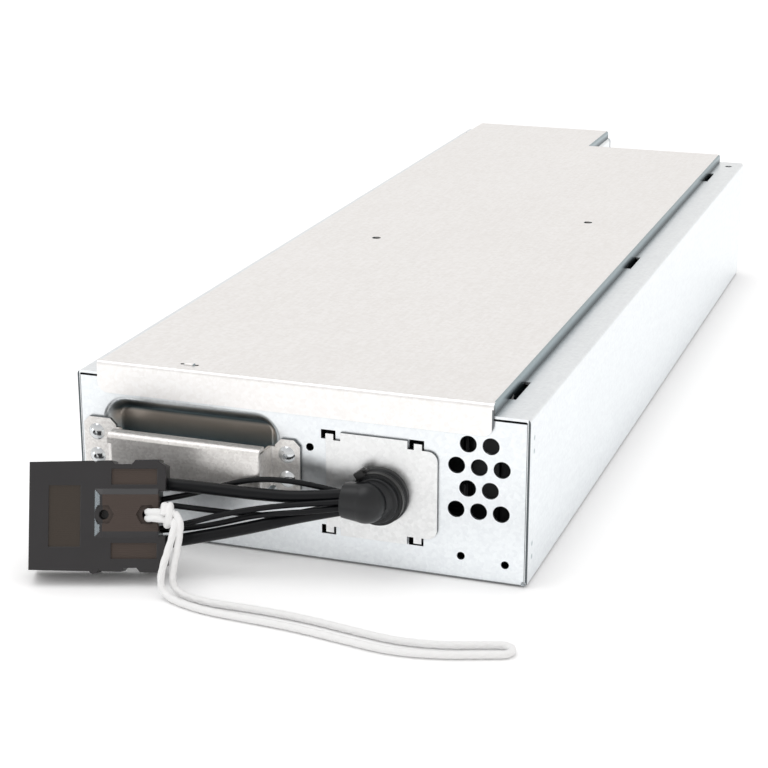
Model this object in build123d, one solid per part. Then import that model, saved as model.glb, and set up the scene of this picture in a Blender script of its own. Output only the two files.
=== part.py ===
"""Slide-in battery cartridge for an uninterruptible power supply.

A folded zinc-coated tray holds ten sealed lead-acid blocks in two columns and is closed by a
folded lid. The front panel carries a pull handle over a drawn finger pocket, a cable plate
with an elbow boot, ten vent holes and a lead that ends in a moulded plug with a pull cord.

Units are millimetres. Seen from the front +X is to the right, +Y runs to the rear and +Z up.
The origin is the middle of the tray's underside.
"""
import os
from math import cos, pi, radians, sin, tan

from build123d import *

# Sealed blocks: five rows of two, the sizes that the whole cartridge is built round
battery_width = 89.0
battery_depth = 101.0
battery_height = 70.0
battery_rows = 5
battery_gap = 0.4
battery_edge = 2.5
column_gap = 2.0
column_shift = -2.6
terminal_height = 6.0
terminal_width = 6.3
terminal_thickness = 0.8
terminal_inset = 13.5
first_terminal_y = 10.0

# Tray, as large as the blocks and the room round them
sheet = 1.2
liner = 0.5
side_room = 15.0
rear_room = 58.0
top_room = 4.3
battery_pitch = battery_depth + terminal_height + battery_gap
tray_width = 2 * battery_width + column_gap + 2 * side_room
tray_length = first_terminal_y + battery_rows * battery_pitch + rear_room
tray_height = sheet + liner + battery_height + top_room
half_width = tray_width / 2
front_y = -tray_length / 2
rear_y = tray_length / 2
bend_radius = 2.0
bend_leg = 3.0
notch_length = 57.0
notch_x = 1.5
seam_gap = 0.25
panel_top_gap = 1.0
rear_ledge = 9.0
ledge_lip = 2.4

# Lid
lid_margin_left = 10.4
lid_margin_right = 15.7
lid_rise = 5.6
lid_rear_inset = 1.6
lid_front_drop = 9.0
lid_front_corner = 5.0
lid_slit = 0.9
lid_hole_diameter = 4.8
lid_hole_left = (43.0, 252.3)
lid_hole_right = (38.2, 221.7)
bridge_inset = 41.8
bridge_y = 6.9
bridge_length = 5.2
bridge_width = 3.2
bridge_rise = 0.9
bridge_hole = 1.8

# Tabs of the lid and the slots that they pass through in the ledges
tab_first_y = 36.0
tab_last_inset = 52.0
tab_count = 3
tab_length = 17.0
tab_drop = 4.0
slot_length = 25.0
slot_outside = 2.8
slot_clearance = 0.3

# Finger pocket and pull handle: the left ends keep their distance from the tray's left edge,
# and the right ends keep theirs from its right edge
handle_z = tray_height / 2 + 4.25
pocket_left = -half_width + 13.1
pocket_right = half_width - 113.4
pocket_top = handle_z + 22.25
pocket_bottom = handle_z - 16.25
pocket_corner = 10.5
pocket_depth = 7.0
pocket_draft = 36.0
pocket_mouth_radius = 2.2
pocket_floor_radius = 2.6
handle_sheet = 1.5
handle_left = -half_width + 2.9
handle_right = half_width - 102.6
handle_leg_left = -half_width + 20.7
handle_leg_right = half_width - 116.1
handle_stand_off = 15.0
handle_bend = 1.9
ear_top = handle_z + 12.75
ear_bottom = handle_z - 12.75
ear_chamfer = 2.8
strap_top = handle_z + 8.95
strap_bottom = handle_z - 9.25
grip_top = handle_z + 11.1
grip_roll = 2.6
grip_depth = 6.2
grip_inset = 0.4
rivet_inset = 6.2
rivet_low_z = handle_z - 5.65
rivet_high_z = handle_z + 5.75
rivet_shank = 4.0
rivet_head = 7.8
rivet_head_height = 1.9
rivet_mandrel = 2.2
hole_clearance = 0.1

# Vents and small holes of the front panel
vent_pitch = 10.0
vent_diameter = 7.5
vent_rows = 4
vent_x = half_width - 26.9
vent_z = tray_height / 2 + 24.3
small_hole_diameter = 3.6
small_holes = ((98.5, 52.4), (29.5, 10.9), (9.8, 9.3))
relief_diameter = 2.6
ledge_hole_diameter = 4.4
ledge_hole_inset = 13.5

# Cable plate, gland and elbow boot
gland_x = half_width - 65.2
gland_z = tray_height / 2 - 3.0
plate_left = gland_x - 25.4
plate_right = gland_x + 25.2
plate_low = gland_z - 18.0
plate_high = gland_z + 22.2
plate_corner = 4.5
plate_step = 3.7
plate_raised_left = gland_x - 18.8
plate_slot_left = (gland_x - 28.1, gland_x + 12.1)
plate_slot_length = 6.7
plate_slot_height = 4.2
plate_tab_offset = 2.5
plate_tab_width = 3.6
plate_tab_gap = 0.9
window_size = 34.0
window_corner = 4.0
gland_flange = 25.2
gland_flange_thickness = 2.6
gland_thread = 18.0
gland_nut_flats = 24.0
gland_nut_thickness = 5.0
gland_inside = 8.4
gland_bore_depth = 6.0
boot_sleeve = 22.6
boot_sleeve_length = 4.2
boot_lip = 24.0
boot_lip_thickness = 1.3
boot_ring = 20.4
boot_ring_length = 1.6
boot_neck_radius = 8.5
boot_elbow_x = gland_x - 3.0
boot_elbow_stand_off = 12.4
boot_radius = 9.0
boot_mouth_radius = 7.7
boot_mouth_x = gland_x - 12.8
boot_mouth_depth = 0.9
boot_wire_depth = 1.0
boot_wall = 1.2
tie_width = 2.4
tie_thickness = 1.2
tie_head = (4.6, 3.4, 3.6)
tie_tail = 1.4
tie_angle = 125.0

# Plug on the lead: its corner, how it is turned and how far it leans back
plug_corner_x = gland_x - 136.9
plug_corner_ahead = 67.0
plug_yaw = 19.0
plug_lean = 22.0
plug_length = 55.6
plug_height = 48.4
plug_taper = 1.1
plug_thickness = 16.0
plug_end_step = 2.8
plug_collar_upper = 13.6
plug_collar_lower = 15.9
plug_wire_depth = 1.5
plug_label = (8.4, 22.0, 11.0, 37.3)
plug_label_depth = 0.5
plug_block_left = 28.0
plug_block_low = 14.9
plug_block_high = 35.9
plug_block_rise = 1.8
plug_block_bevel = 2.6
plug_bore_u = (32.1, 50.6)
plug_bore_v = 24.75
plug_bore_diameter = 4.2
plug_bore_depth = 8.0
plug_hex_flats = 7.8
plug_hex_depth = 1.6
plug_pad_left = 35.2
plug_pad_height = 6.8
plug_pad_low = 5.9
plug_pad_high = 37.6
plug_pad_depth = 0.9
plug_dip_top = (34.5, 45.9)
plug_dip_bottom = (38.9, 48.2)
plug_dip_depth = 2.0
plug_dip_slope = 2.0
plug_vee = (25.6, 28.4, 29.9)
plug_vee_depth = 1.4
plug_boss_u = 27.8
plug_boss_radius = 2.1
plug_notch = (29.3, 33.2)
socket_depth = 13.0
socket_width = 11.5
socket_height = 12.0
socket_v = (10.8, 37.6)
aux_socket_height = 7.5
aux_socket_width = 6.5
contact_thickness = 2.2
contact_width = 9.0
aux_pin = 1.1

# Wires and cord
power_wire = 5.5
sense_wire = 2.5
pull_cord = 3.2
knot_diameter = 9.0

# Inside the tray: links, leads, pads, fuse and sensor
link_wire = 3.2
inner_wire = 4.0
inner_bend = 3.6
lead_rise = 14.0
lead_drop = 8.0
lug_thickness = 1.0
lug_diameter = 8.0
receptacle = (2.6, 5.2, 8.0)
pad_width = 24.0
side_pad_height = battery_height - 10.0
side_pad_gap = 0.3
fuse_base = (44.0, 26.0, 10.0)
fuse_body_diameter = 17.0
fuse_body_length = 24.0
fuse_blade = (8.0, 10.0, 2.0)
fuse_inset = 31.0
fuse_offset = 14.1
sensor_size = (14.0, 9.0, 4.0)
sensor_from_gland = 3.1
sensor_lead_y = 12.0
sensor_lead_pitch = 3.6

# Worked out from the sizes above
right_rear_y = rear_y - notch_length
inner_half = half_width - sheet
wall_half = inner_half - seam_gap
panel_height = tray_height - sheet - panel_top_gap
lid_left = -half_width + lid_margin_left
lid_right = half_width - lid_margin_right
lid_top = tray_height + lid_rise
ledge_left_edge = lid_left + sheet + ledge_lip
ledge_right_edge = lid_right - sheet - ledge_lip
terminal_offset = battery_width / 2 - terminal_inset
tab_pitch = (tray_length - notch_length - tab_first_y - tab_last_inset) / (tab_count - 1)
floor_z = sheet + liner


def along_y(face, y0, y1):
    """Extrude a face drawn in (x, z) from y0 to y1."""
    return extrude(Plane.XZ.offset(-y1) * face, y1 - y0)


def along_x(face, x0, x1):
    """Extrude a face drawn in (y, z) from x0 to x1."""
    return extrude(Plane.YZ.offset(x0) * face, x1 - x0)


def along_z(face, z0, z1):
    """Extrude a face drawn in (x, y) from z0 to z1."""
    return extrude(Plane.XY.offset(z0) * face, z1 - z0)


def span(a0, a1, b0, b1):
    """A rectangle from one corner to the other."""
    return Pos((a0 + a1) / 2, (b0 + b1) / 2) * Rectangle(a1 - a0, b1 - b0)


def polygon(*points):
    """A closed outline that faces up, whichever way round its points go."""
    face = Polygon(*points, align=None)
    if face.faces()[0].normal_at().Z < 0:
        face = Polygon(*reversed(points), align=None)
    return face


def block(x0, x1, y0, y1, z0, z1):
    """A box between two corners."""
    return Pos((x0 + x1) / 2, (y0 + y1) / 2, (z0 + z1) / 2) * Box(x1 - x0, y1 - y0, z1 - z0)


def pin_y(x, z, diameter, y0, y1):
    """A cylinder along Y."""
    return along_y(Pos(x, z) * Circle(diameter / 2), y0, y1)


def ribbon(points, radius, thickness):
    """The edge view of a folded strip: its middle line with every bend rounded."""
    return trace(FilletPolyline(*points, radius=radius), line_width=thickness)


def angle_wall(height, x0, x1):
    """An upright wall that is folded up from the base, its outer face at y = 0."""
    outer = span(0, bend_leg, 0, height)
    outer = fillet(outer.vertices().sort_by(lambda v: v.X + v.Y)[0], bend_radius)
    inner = span(sheet, bend_leg + 1, sheet, height + 1)
    inner = fillet(inner.vertices().sort_by(lambda v: v.X + v.Y)[0], bend_radius - sheet)
    return along_x(outer - inner, x0, x1)


def ledged_wall(x0, x1, ledge_x0, ledge_x1):
    """An upright wall with a ledge folded inwards at its top."""
    wall = angle_wall(tray_height - bend_leg, x0, x1)
    outer = span(0, rear_ledge, tray_height - bend_leg, tray_height)
    outer = fillet(outer.vertices().sort_by(lambda v: v.X - v.Y)[0], bend_radius)
    inner = span(sheet, rear_ledge + 1, tray_height - bend_leg - 1, tray_height - sheet)
    inner = fillet(inner.vertices().sort_by(lambda v: v.X - v.Y)[0], bend_radius - sheet)
    ledge = outer - inner
    corner_piece = along_x(ledge & span(0, bend_leg, 0, tray_height), x0, x1)
    return wall + corner_piece + along_x(ledge, ledge_x0, ledge_x1)


def turned_wall(wall, x, y, angle):
    return Pos(x, y, 0) * Rot(0, 0, angle) * wall


def pocket_solid(grow, depth):
    """The drawn pocket as a solid that narrows as it goes in."""
    middle_x = (pocket_left + pocket_right) / 2
    middle_z = (pocket_top + pocket_bottom) / 2
    mouth = Plane(origin=(middle_x, front_y, middle_z), x_dir=(1, 0, 0), z_dir=(0, 1, 0))
    width = pocket_right - pocket_left + 2 * grow
    height = pocket_top - pocket_bottom + 2 * grow
    solid = extrude(mouth * RectangleRounded(width, height, pocket_corner + grow), depth,
                    taper=pocket_draft)
    return fillet(solid.faces().sort_by(Axis.Y)[-1].edges(), pocket_floor_radius + grow)


def vent_places():
    """Rows of two and three holes by turns."""
    for row in range(vent_rows):
        wide = row % 2
        for column in range(2 + wide):
            x = vent_x + (column - wide / 2) * vent_pitch
            yield x, vent_z - row * vent_pitch


def rivet_places():
    for x in (handle_left + rivet_inset, handle_right - rivet_inset):
        for z in (rivet_low_z, rivet_high_z):
            yield x, z


def plate_slots():
    """The four slots for the cable plate's hooks, as (left, bottom) corners."""
    top = plate_high + plate_step - plate_slot_height + 0.4
    low = plate_low - plate_step - 0.4
    for x in plate_slot_left:
        yield x, top, 1
        yield x, low, -1


def front_panel():
    """The front wall with its pocket, vents, window and holes."""
    wall = Pos(0, front_y, 0) * angle_wall(panel_height, -wall_half, wall_half)
    wall = wall + pocket_solid(0.55, pocket_depth + sheet) - pocket_solid(0, pocket_depth)
    on_front = wall.faces().filter_by(Axis.Y).sort_by(Axis.Y)[0]
    mouth = [e for w in on_front.inner_wires() for e in w.edges()]
    wall = fillet(mouth, pocket_mouth_radius)
    reach = (front_y - 1, front_y + sheet + 1)
    for x, z in vent_places():
        wall -= pin_y(x, z, vent_diameter, *reach)
    for inset, z in small_holes:
        wall -= pin_y(half_width - inset, z, small_hole_diameter, *reach)
    for x, z in rivet_places():
        wall -= pin_y(x, z, rivet_shank + 2 * hole_clearance, *reach)
    window = Pos(gland_x, gland_z) * RectangleRounded(window_size, window_size, window_corner)
    wall -= along_y(window, *reach)
    for x, z, side in plate_slots():
        wall -= along_y(span(x, x + plate_slot_length, z, z + plate_slot_height), *reach)
    return wall


def tab_places():
    return [front_y + tab_first_y + i * tab_pitch for i in range(tab_count)]


def ledge_slots():
    """Slots in both ledges, just outside the lid's side flanges."""
    cuts = []
    for y in tab_places():
        for edge, side in ((lid_right, 1), (lid_left, -1)):
            inside = edge - side * (sheet + slot_clearance)
            outside = edge + side * slot_outside
            x0, x1 = min(inside, outside), max(inside, outside)
            cuts.append(block(x0, x1, y - slot_length / 2, y + slot_length / 2,
                              tray_height - sheet - 1, tray_height + 1))
    return cuts


def tray():
    """One folded blank: base, sides with ledges, front panel and the stepped rear."""
    section = Pos(0, tray_height / 2) * RectangleRounded(tray_width, tray_height, bend_radius)
    hollow = RectangleRounded(tray_width - 2 * sheet, tray_height - 2 * sheet,
                              bend_radius - sheet)
    section -= Pos(0, tray_height / 2) * hollow
    section -= span(ledge_left_edge, ledge_right_edge, tray_height / 2, tray_height + 1)
    body = along_y(section, front_y, rear_y)
    body -= block(notch_x, half_width + 1, right_rear_y, rear_y + 1, -1, tray_height + 1)
    low, high = -1, bend_radius
    body -= block(-wall_half, wall_half, front_y - 1, front_y + bend_leg, low, high)
    body -= block(-wall_half, notch_x, rear_y - bend_leg, rear_y + 1, low, high)
    body -= block(notch_x - bend_leg, notch_x, right_rear_y, rear_y + 1, low, high)
    body -= block(notch_x - bend_leg, wall_half, right_rear_y - bend_leg, right_rear_y + 1,
                  low, high)
    # Wall across the rear on the left, wall beside the notch and wall across on the right
    rear_left = ledged_wall(-notch_x, wall_half, -notch_x + rear_ledge, -ledge_left_edge - 0.4)
    body += turned_wall(rear_left, 0, rear_y, 180)
    side_length = notch_length - bend_leg
    side_wall = ledged_wall(0, side_length, 0, side_length - rear_ledge + bend_leg - seam_gap)
    body += turned_wall(side_wall, notch_x, right_rear_y, 90)
    rear_right = ledged_wall(-wall_half, -notch_x + bend_leg, -ledge_right_edge + 0.4,
                             -notch_x + bend_leg)
    body += turned_wall(rear_right, 0, right_rear_y, 180)
    body += front_panel()
    for cut in ledge_slots():
        body -= cut
    for side in (-1, 1):
        body -= pin_y(side * wall_half, bend_radius - 0.6, relief_diameter,
                      front_y - 1, front_y + bend_leg)
    ledge_hole = Cylinder(ledge_hole_diameter / 2, 10)
    body -= Pos(half_width - lid_margin_right / 2, right_rear_y - ledge_hole_inset,
                tray_height) * ledge_hole
    body -= Pos(-half_width + lid_margin_left / 2, rear_y - ledge_hole_inset,
                tray_height) * ledge_hole
    return body


def lid():
    """A shallow folded pan with a deep front flange, side tabs and the stepped rear."""
    width = lid_right - lid_left
    middle = (lid_left + lid_right) / 2
    rear_left = rear_y - lid_rear_inset
    rear_right = right_rear_y - lid_rear_inset
    side_right = notch_x - lid_rear_inset
    start = front_y + lid_slit
    outline = polygon((lid_left, start), (lid_right, start), (lid_right, rear_right),
                      (side_right, rear_right), (side_right, rear_left), (lid_left, rear_left))
    shell = along_z(outline, tray_height, lid_top)
    rims = shell.faces().sort_by(Axis.Z)[-1].edges().filter_by(
        lambda e: e.center().Y > start + 1)
    shell = fillet(rims, bend_radius)
    hollow = along_z(offset(outline, -sheet, kind=Kind.INTERSECTION), tray_height - 1,
                     lid_top - sheet)
    opening = block(lid_left + sheet, lid_right - sheet, start - 1, start + 3,
                    tray_height - 1, lid_top - sheet)
    shell = shell - hollow - opening
    # Front flange, folded down over the front panel
    flange_low = tray_height - lid_front_drop
    outer = span(front_y - sheet, start + 1, flange_low, lid_top)
    outer = fillet(outer.vertices().sort_by(lambda v: v.X - v.Y)[0], bend_radius)
    inner = span(front_y, start + 2, flange_low - 1, lid_top - sheet)
    inner = fillet(inner.vertices().sort_by(lambda v: v.X - v.Y)[0], bend_radius - sheet)
    flange = along_x(outer - inner, lid_left, lid_right)
    tall = 2 * (lid_top - flange_low)
    keep = Pos(middle, flange_low + tall / 2) * RectangleRounded(width, tall, lid_front_corner)
    flange = flange & along_y(keep, front_y - 10, start + 10)
    shell += flange
    # Tabs through the ledge slots
    for y in tab_places():
        for edge, side in ((lid_right, 1), (lid_left, -1)):
            x0, x1 = min(edge, edge - side * sheet), max(edge, edge - side * sheet)
            y0 = y + slot_length / 2 - tab_length - 1
            shell += block(x0, x1, y0, y0 + tab_length, tray_height - tab_drop, tray_height + 1)
    for x, y in ((lid_left + lid_hole_left[0], front_y + lid_hole_left[1]),
                 (lid_right - lid_hole_right[0], right_rear_y - lid_hole_right[1])):
        shell -= Pos(x, y, lid_top) * Cylinder(lid_hole_diameter / 2, 10)
    # Raised bridge with a hole at each end
    bridge_x = lid_left + bridge_inset
    bridge = Pos(bridge_x, front_y + bridge_y, lid_top - sheet / 2)
    bump = extrude(SlotOverall(bridge_length, bridge_width), sheet / 2 + bridge_rise)
    bump = fillet(bump.faces().sort_by(Axis.Z)[-1].edges(), bridge_rise * 0.7)
    shell += bridge * bump
    for side in (-1, 1):
        hole = Cylinder(bridge_hole / 2, 10)
        shell -= Pos(bridge_x + side * (bridge_length / 2 + bridge_hole / 2),
                     front_y + bridge_y, lid_top) * hole
    return shell


def handle_bracket():
    """A pull handle: two ears, two legs and a bridge whose top edge is folded back."""
    mid = handle_sheet / 2
    seat = front_y - mid
    ahead = front_y - handle_stand_off + mid
    left = handle_leg_left + mid
    right = handle_leg_right - mid
    route = [(handle_left, seat), (left, seat), (left, ahead), (right, ahead), (right, seat),
             (handle_right, seat)]
    strap = along_z(ribbon(route, handle_bend, handle_sheet), strap_bottom, strap_top)
    roll_x0 = handle_leg_left + grip_inset
    roll_x1 = handle_leg_right - grip_inset
    top = grip_top - mid
    roll = ribbon([(ahead, strap_top - grip_roll), (ahead, top), (ahead + grip_depth - mid, top)],
                  grip_roll - mid, handle_sheet)
    bracket = strap + along_x(roll, roll_x0, roll_x1)
    for x0, x1 in ((handle_left, handle_leg_left - handle_bend), (handle_leg_right + handle_bend,
                                                                   handle_right)):
        ear = span(x0, x1, ear_bottom, ear_top)
        ear = chamfer(ear.vertices(), ear_chamfer)
        bracket += along_y(ear, front_y - handle_sheet, front_y)
    for x, z in rivet_places():
        bracket -= pin_y(x, z, rivet_shank + 2 * hole_clearance, front_y - 5, front_y + 5)
    return bracket


def rivet(x, z):
    """A blind rivet: domed head, shank, set end and the mandrel's hole."""
    grip = handle_sheet + sheet
    r = rivet_head / 2
    h = rivet_head_height
    dome = (r * r + h * h) / (2 * h)
    head = Pos(0, 0, h - dome) * Sphere(dome)
    head = head & Pos(0, 0, h / 2) * Cylinder(r, h)
    shank = Pos(0, 0, -grip / 2) * Cylinder(rivet_shank / 2, grip)
    tail = Pos(0, 0, -grip - 1.1) * Cylinder(rivet_shank / 2 + 0.8, 2.2)
    tail = fillet(tail.edges().filter_by(GeomType.CIRCLE), 0.7)
    body = head + shank + tail
    body -= Pos(0, 0, h) * Cylinder(rivet_mandrel / 2, 2.4)
    return Pos(x, front_y - handle_sheet, z) * Rot(90, 0, 0) * body


def handle_rivets():
    return Compound(children=[rivet(x, z) for x, z in rivet_places()])


def cable_plate():
    """The plate that closes the window and carries the gland, with four hooked tabs."""
    body = span(plate_left, plate_right, plate_low, plate_high)
    corners = body.vertices().group_by(Axis.X)[-1]
    body = fillet(corners, plate_corner)
    raised_right = plate_slot_left[1] - 0.4
    body += span(plate_raised_left, raised_right, plate_low - plate_step, plate_high + plate_step)
    body -= Pos(gland_x, gland_z) * Circle(gland_thread / 2 + hole_clearance)
    plate = along_y(body, front_y - sheet, front_y)
    for x, z, side in plate_slots():
        x0 = x + plate_tab_offset
        edge = plate_high if side > 0 else plate_low
        far = edge + side * (plate_step - plate_tab_gap)
        z0, z1 = min(edge - side, far), max(edge - side, far)
        tab = block(x0, x0 + plate_tab_width, front_y - sheet, front_y, z0, z1)
        tip = far - side * sheet
        hook = block(x0, x0 + plate_tab_width, front_y - sheet, front_y + sheet,
                     min(tip, far), max(tip, far))
        plate += tab + hook
    return plate


def at_gland(solid):
    """Place a solid drawn about its own Z axis on the gland's axis, pointing out."""
    return Pos(gland_x, front_y, gland_z) * Rot(90, 0, 0) * solid


def gland_collar():
    """A moulded gland: stepped flange outside, threaded neck through the plate."""
    base = sheet
    flange = Pos(0, 0, base + gland_flange_thickness / 2)
    flange *= Cylinder(gland_flange / 2, gland_flange_thickness)
    flange = chamfer(flange.faces().sort_by(Axis.Z)[-1].edges(), 0.7)
    neck_top = base + gland_flange_thickness + boot_sleeve_length
    neck_low = -gland_inside
    neck = Pos(0, 0, (neck_top + neck_low) / 2) * Cylinder(gland_thread / 2, neck_top - neck_low)
    bore = Pos(0, 0, neck_low) * Cylinder(gland_thread / 2 - 1.6, 2 * gland_bore_depth)
    return at_gland(flange + neck - bore)


def gland_nut():
    """The locknut behind the cable plate."""
    nut = extrude(RegularPolygon(gland_nut_flats / 2, 6, major_radius=False),
                  -gland_nut_thickness)
    nut &= Pos(0, 0, -gland_nut_thickness / 2) * Cylinder(gland_nut_flats * 0.56,
                                                         gland_nut_thickness)
    nut -= Cylinder(gland_thread / 2 + 0.02, 4 * gland_nut_thickness)
    return at_gland(nut)


def cable_boot(wires):
    """A rubber elbow: ringed sleeve on the gland's neck, then a rounded turn to the left."""
    low = sheet + gland_flange_thickness
    neck = gland_thread / 2 + 0.02
    sleeve = Pos(0, 0, low + boot_sleeve_length / 2) * Cylinder(boot_sleeve / 2,
                                                               boot_sleeve_length)
    lip = Pos(0, 0, low + boot_lip_thickness / 2) * Cylinder(boot_lip / 2, boot_lip_thickness)
    lip = fillet(lip.edges().filter_by(GeomType.CIRCLE), 0.5)
    groove_z = low + boot_lip_thickness + tie_width / 2 + 0.2
    sleeve = sleeve + lip
    shoulder_z = low + boot_sleeve_length
    shift = boot_elbow_x - gland_x
    ring = Pos(0, 0, shoulder_z + boot_ring_length / 2) * Cylinder(boot_ring / 2,
                                                                  boot_ring_length)
    ring = fillet(ring.faces().sort_by(Axis.Z)[-1].edges(), 0.5)
    shoulder = ring + loft([Plane.XY.offset(shoulder_z) * Circle(boot_ring / 2 - 0.9),
                            Plane((shift, 0, boot_elbow_stand_off)) * Circle(boot_neck_radius)])
    dome = Pos(shift, 0, boot_elbow_stand_off) * Sphere(boot_radius)
    run = boot_elbow_x - boot_mouth_x
    arm = Pos(shift - run / 2, 0, boot_elbow_stand_off) * Rot(0, -90, 0)
    arm *= Cone(boot_radius, boot_mouth_radius, run)
    mouth = Pos(shift - run, 0, boot_elbow_stand_off) * Rot(0, -90, 0)
    mouth *= Cylinder(boot_mouth_radius - boot_wall, 2 * boot_mouth_depth)
    bore = Pos(0, 0, shoulder_z / 2) * Cylinder(neck, shoulder_z + 0.04)
    tie_room = Pos(0, 0, groove_z) * (Cylinder(boot_sleeve / 2 + 3, tie_width)
                                      - Cylinder(boot_sleeve / 2 - tie_thickness / 2, tie_width))
    body = at_gland(sleeve + shoulder + dome + arm - mouth - bore - tie_room)
    for wire in wires:
        body -= wire
    return body


def boot_tie():
    """The cable tie in the sleeve's groove, with its head at the upper left."""
    low = sheet + gland_flange_thickness
    z = low + boot_lip_thickness + tie_width / 2 + 0.2
    inner = boot_sleeve / 2 - tie_thickness / 2
    outer = inner + tie_thickness
    band = Cylinder(outer, tie_width) - Cylinder(inner, tie_width)
    length, depth, width = tie_head
    start = boot_sleeve / 2 + 0.05
    lift = (width - tie_width) / 2
    head = Pos(start + depth / 2, 0, lift) * Box(depth, length, width)
    head = fillet(head.faces().sort_by(Axis.X)[-1].edges(), 0.5)
    tail = Pos(start + depth / 2, -length / 2, 0) * Box(1.2, 2 * tie_tail, tie_width)
    tie = band + head + tail
    return at_gland(Pos(0, 0, z) * Rot(0, 0, tie_angle) * tie)


def plug_plane():
    """The plug's front face: x along it to the wires, y up it and z out towards the viewer."""
    yaw = radians(plug_yaw)
    lean = radians(plug_lean)
    low = plug_thickness * sin(lean)
    return Plane(origin=(plug_corner_x, front_y - plug_corner_ahead, low),
                 x_dir=(cos(yaw), sin(yaw), 0),
                 z_dir=(sin(yaw) * cos(lean), -cos(yaw) * cos(lean), sin(lean)))


def on_plug(u, v, depth):
    """A point of the plug, as a plain tuple in the cartridge's frame."""
    point = plug_plane().from_local_coords(Vector(u, v, -depth))
    return (point.X, point.Y, point.Z)


def plug_outline():
    """The front view of the housing: tapered mating end, a vee, a boss and two grip dips."""
    top = plug_height
    outline = polygon((0, plug_taper), (plug_length, 0), (plug_length, top),
                      (0, top - plug_taper))
    end = plug_length + plug_end_step
    inside = plug_length - 1
    outline += polygon((inside, top - 0.6), (end, top - 2.6), (end, top - plug_collar_upper),
                       (inside, top - plug_collar_upper))
    outline += polygon((inside, 0.6), (end, 2.6), (end, plug_collar_lower),
                       (inside, plug_collar_lower))
    left, tip, right = plug_vee
    outline -= polygon((left, top + 0.5), (right, top + 0.5), (tip, top - plug_vee_depth))
    notch_left, notch_right = plug_notch
    outline -= polygon((notch_left, -1), (notch_left, plug_vee_depth + 0.6), (notch_right, -1))
    outline += Pos(plug_boss_u, plug_boss_radius - 0.5) * Circle(plug_boss_radius)
    for base, side, (left, right) in ((top, 1, plug_dip_top), (0, -1, plug_dip_bottom)):
        outline -= polygon((left - 0.5, base + side), (right + 0.5, base + side),
                           (right - plug_dip_slope, base - side * plug_dip_depth),
                           (left + plug_dip_slope, base - side * plug_dip_depth))
    return outline


def plug_housing(wires):
    """The moulded plug: label recess, raised bolt block, hexagon pockets and sockets."""
    body = extrude(plug_outline(), -plug_thickness)
    u0, u1, v0, v1 = plug_label
    body -= Pos(0, 0, -plug_label_depth) * extrude(span(u0, u1, v0, v1), plug_label_depth + 1)
    for v in (plug_pad_low, plug_pad_high):
        pad = span(plug_pad_left, plug_length - 0.8, v, v + plug_pad_height)
        body -= Pos(0, 0, -plug_pad_depth) * extrude(pad, plug_pad_depth + 1)
    low, high = plug_block_low, plug_block_high
    foot = span(plug_block_left, plug_length, low, high)
    raised = extrude(foot, plug_block_rise)
    edges = raised.faces().sort_by(Axis.Z)[-1].edges().filter_by(
        lambda e: e.center().X < plug_length - 0.1)
    raised = chamfer(edges, plug_block_rise - 0.05, plug_block_bevel)
    body += raised
    for u in plug_bore_u:
        hexagon = RegularPolygon(plug_hex_flats / 2, 6, major_radius=False, rotation=0)
        body -= Pos(u, plug_bore_v, plug_block_rise - plug_hex_depth) * extrude(hexagon, 4)
        bore = Cylinder(plug_bore_diameter / 2, 2 * plug_bore_depth)
        body -= Pos(u, plug_bore_v, plug_block_rise) * bore
    for v in socket_v:
        body -= plug_socket(v, socket_height, socket_width)
    body -= plug_socket(plug_bore_v, aux_socket_height, aux_socket_width)
    body = plug_plane().location * body
    for wire in wires:
        body -= wire
    return body


def plug_socket(v, height, width):
    """A socket of the mating end, as the solid that is cut away."""
    solid = Box(2 * socket_depth, height, width)
    return Pos(0, v, -plug_thickness / 2) * solid


def plug_contacts():
    """Two power blades and four auxiliary pins, standing on the sockets' floors."""
    half = plug_thickness / 2
    pieces = []
    for v in socket_v:
        back = half + socket_width / 2
        blade = block(2.5, socket_depth, v - contact_width / 2, v + contact_width / 2,
                      -back, -back + contact_thickness)
        blade = chamfer(blade.faces().sort_by(Axis.X)[0].edges(), contact_thickness * 0.3)
        pieces.append(plug_plane().location * blade)
    for v in (-1.8, 1.8):
        for w in (-1.6, 1.6):
            pin = block(4.0, socket_depth, plug_bore_v + v - aux_pin / 2,
                        plug_bore_v + v + aux_pin / 2,
                        -half + w - aux_pin / 2, -half + w + aux_pin / 2)
            pieces.append(plug_plane().location * pin)
    return Compound(children=pieces)


def corner_radii(points, smallest):
    """One radius for each corner: 0.45 of the shorter run over the tangent of half the turn."""
    radii = []
    for a, b, c in zip(points, points[1:], points[2:]):
        one = Vector(*b) - Vector(*a)
        two = Vector(*c) - Vector(*b)
        turn = radians(one.get_angle(two))
        radii.append(0.45 * min(one.length, two.length) / tan(turn / 2))
    if min(radii) < smallest:
        print("  a radius is under", smallest)
    return radii


def tube(name, points, diameter, smallest):
    """A round wire along straight runs joined by tangent arcs."""
    radii = corner_radii(points, smallest)
    path = FilletPolyline(*points, radius=radii)
    start = Plane(origin=path @ 0, z_dir=path % 0)
    solid = sweep(start * Circle(diameter / 2), path=path)
    section = pi * diameter ** 2 / 4
    print(f"{name}: length {path.length:.1f}, volume over section {solid.volume / section:.1f},"
          f" radii {[round(r, 1) for r in radii]}")
    return solid


def shifted(points):
    """Move route points, given with y from the front panel, into the cartridge's frame."""
    return [(x, front_y + y, z) for x, y, z in points]


def from_gland(points):
    """Route points given from the gland's centre on the front panel."""
    return [(gland_x + x, front_y + y, gland_z + z) for x, y, z in points]


def from_plug(points):
    """Route points given along the floor from the plug's lower left corner."""
    return [(plug_corner_x + x, front_y - plug_corner_ahead + y, z) for x, y, z in points]


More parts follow.
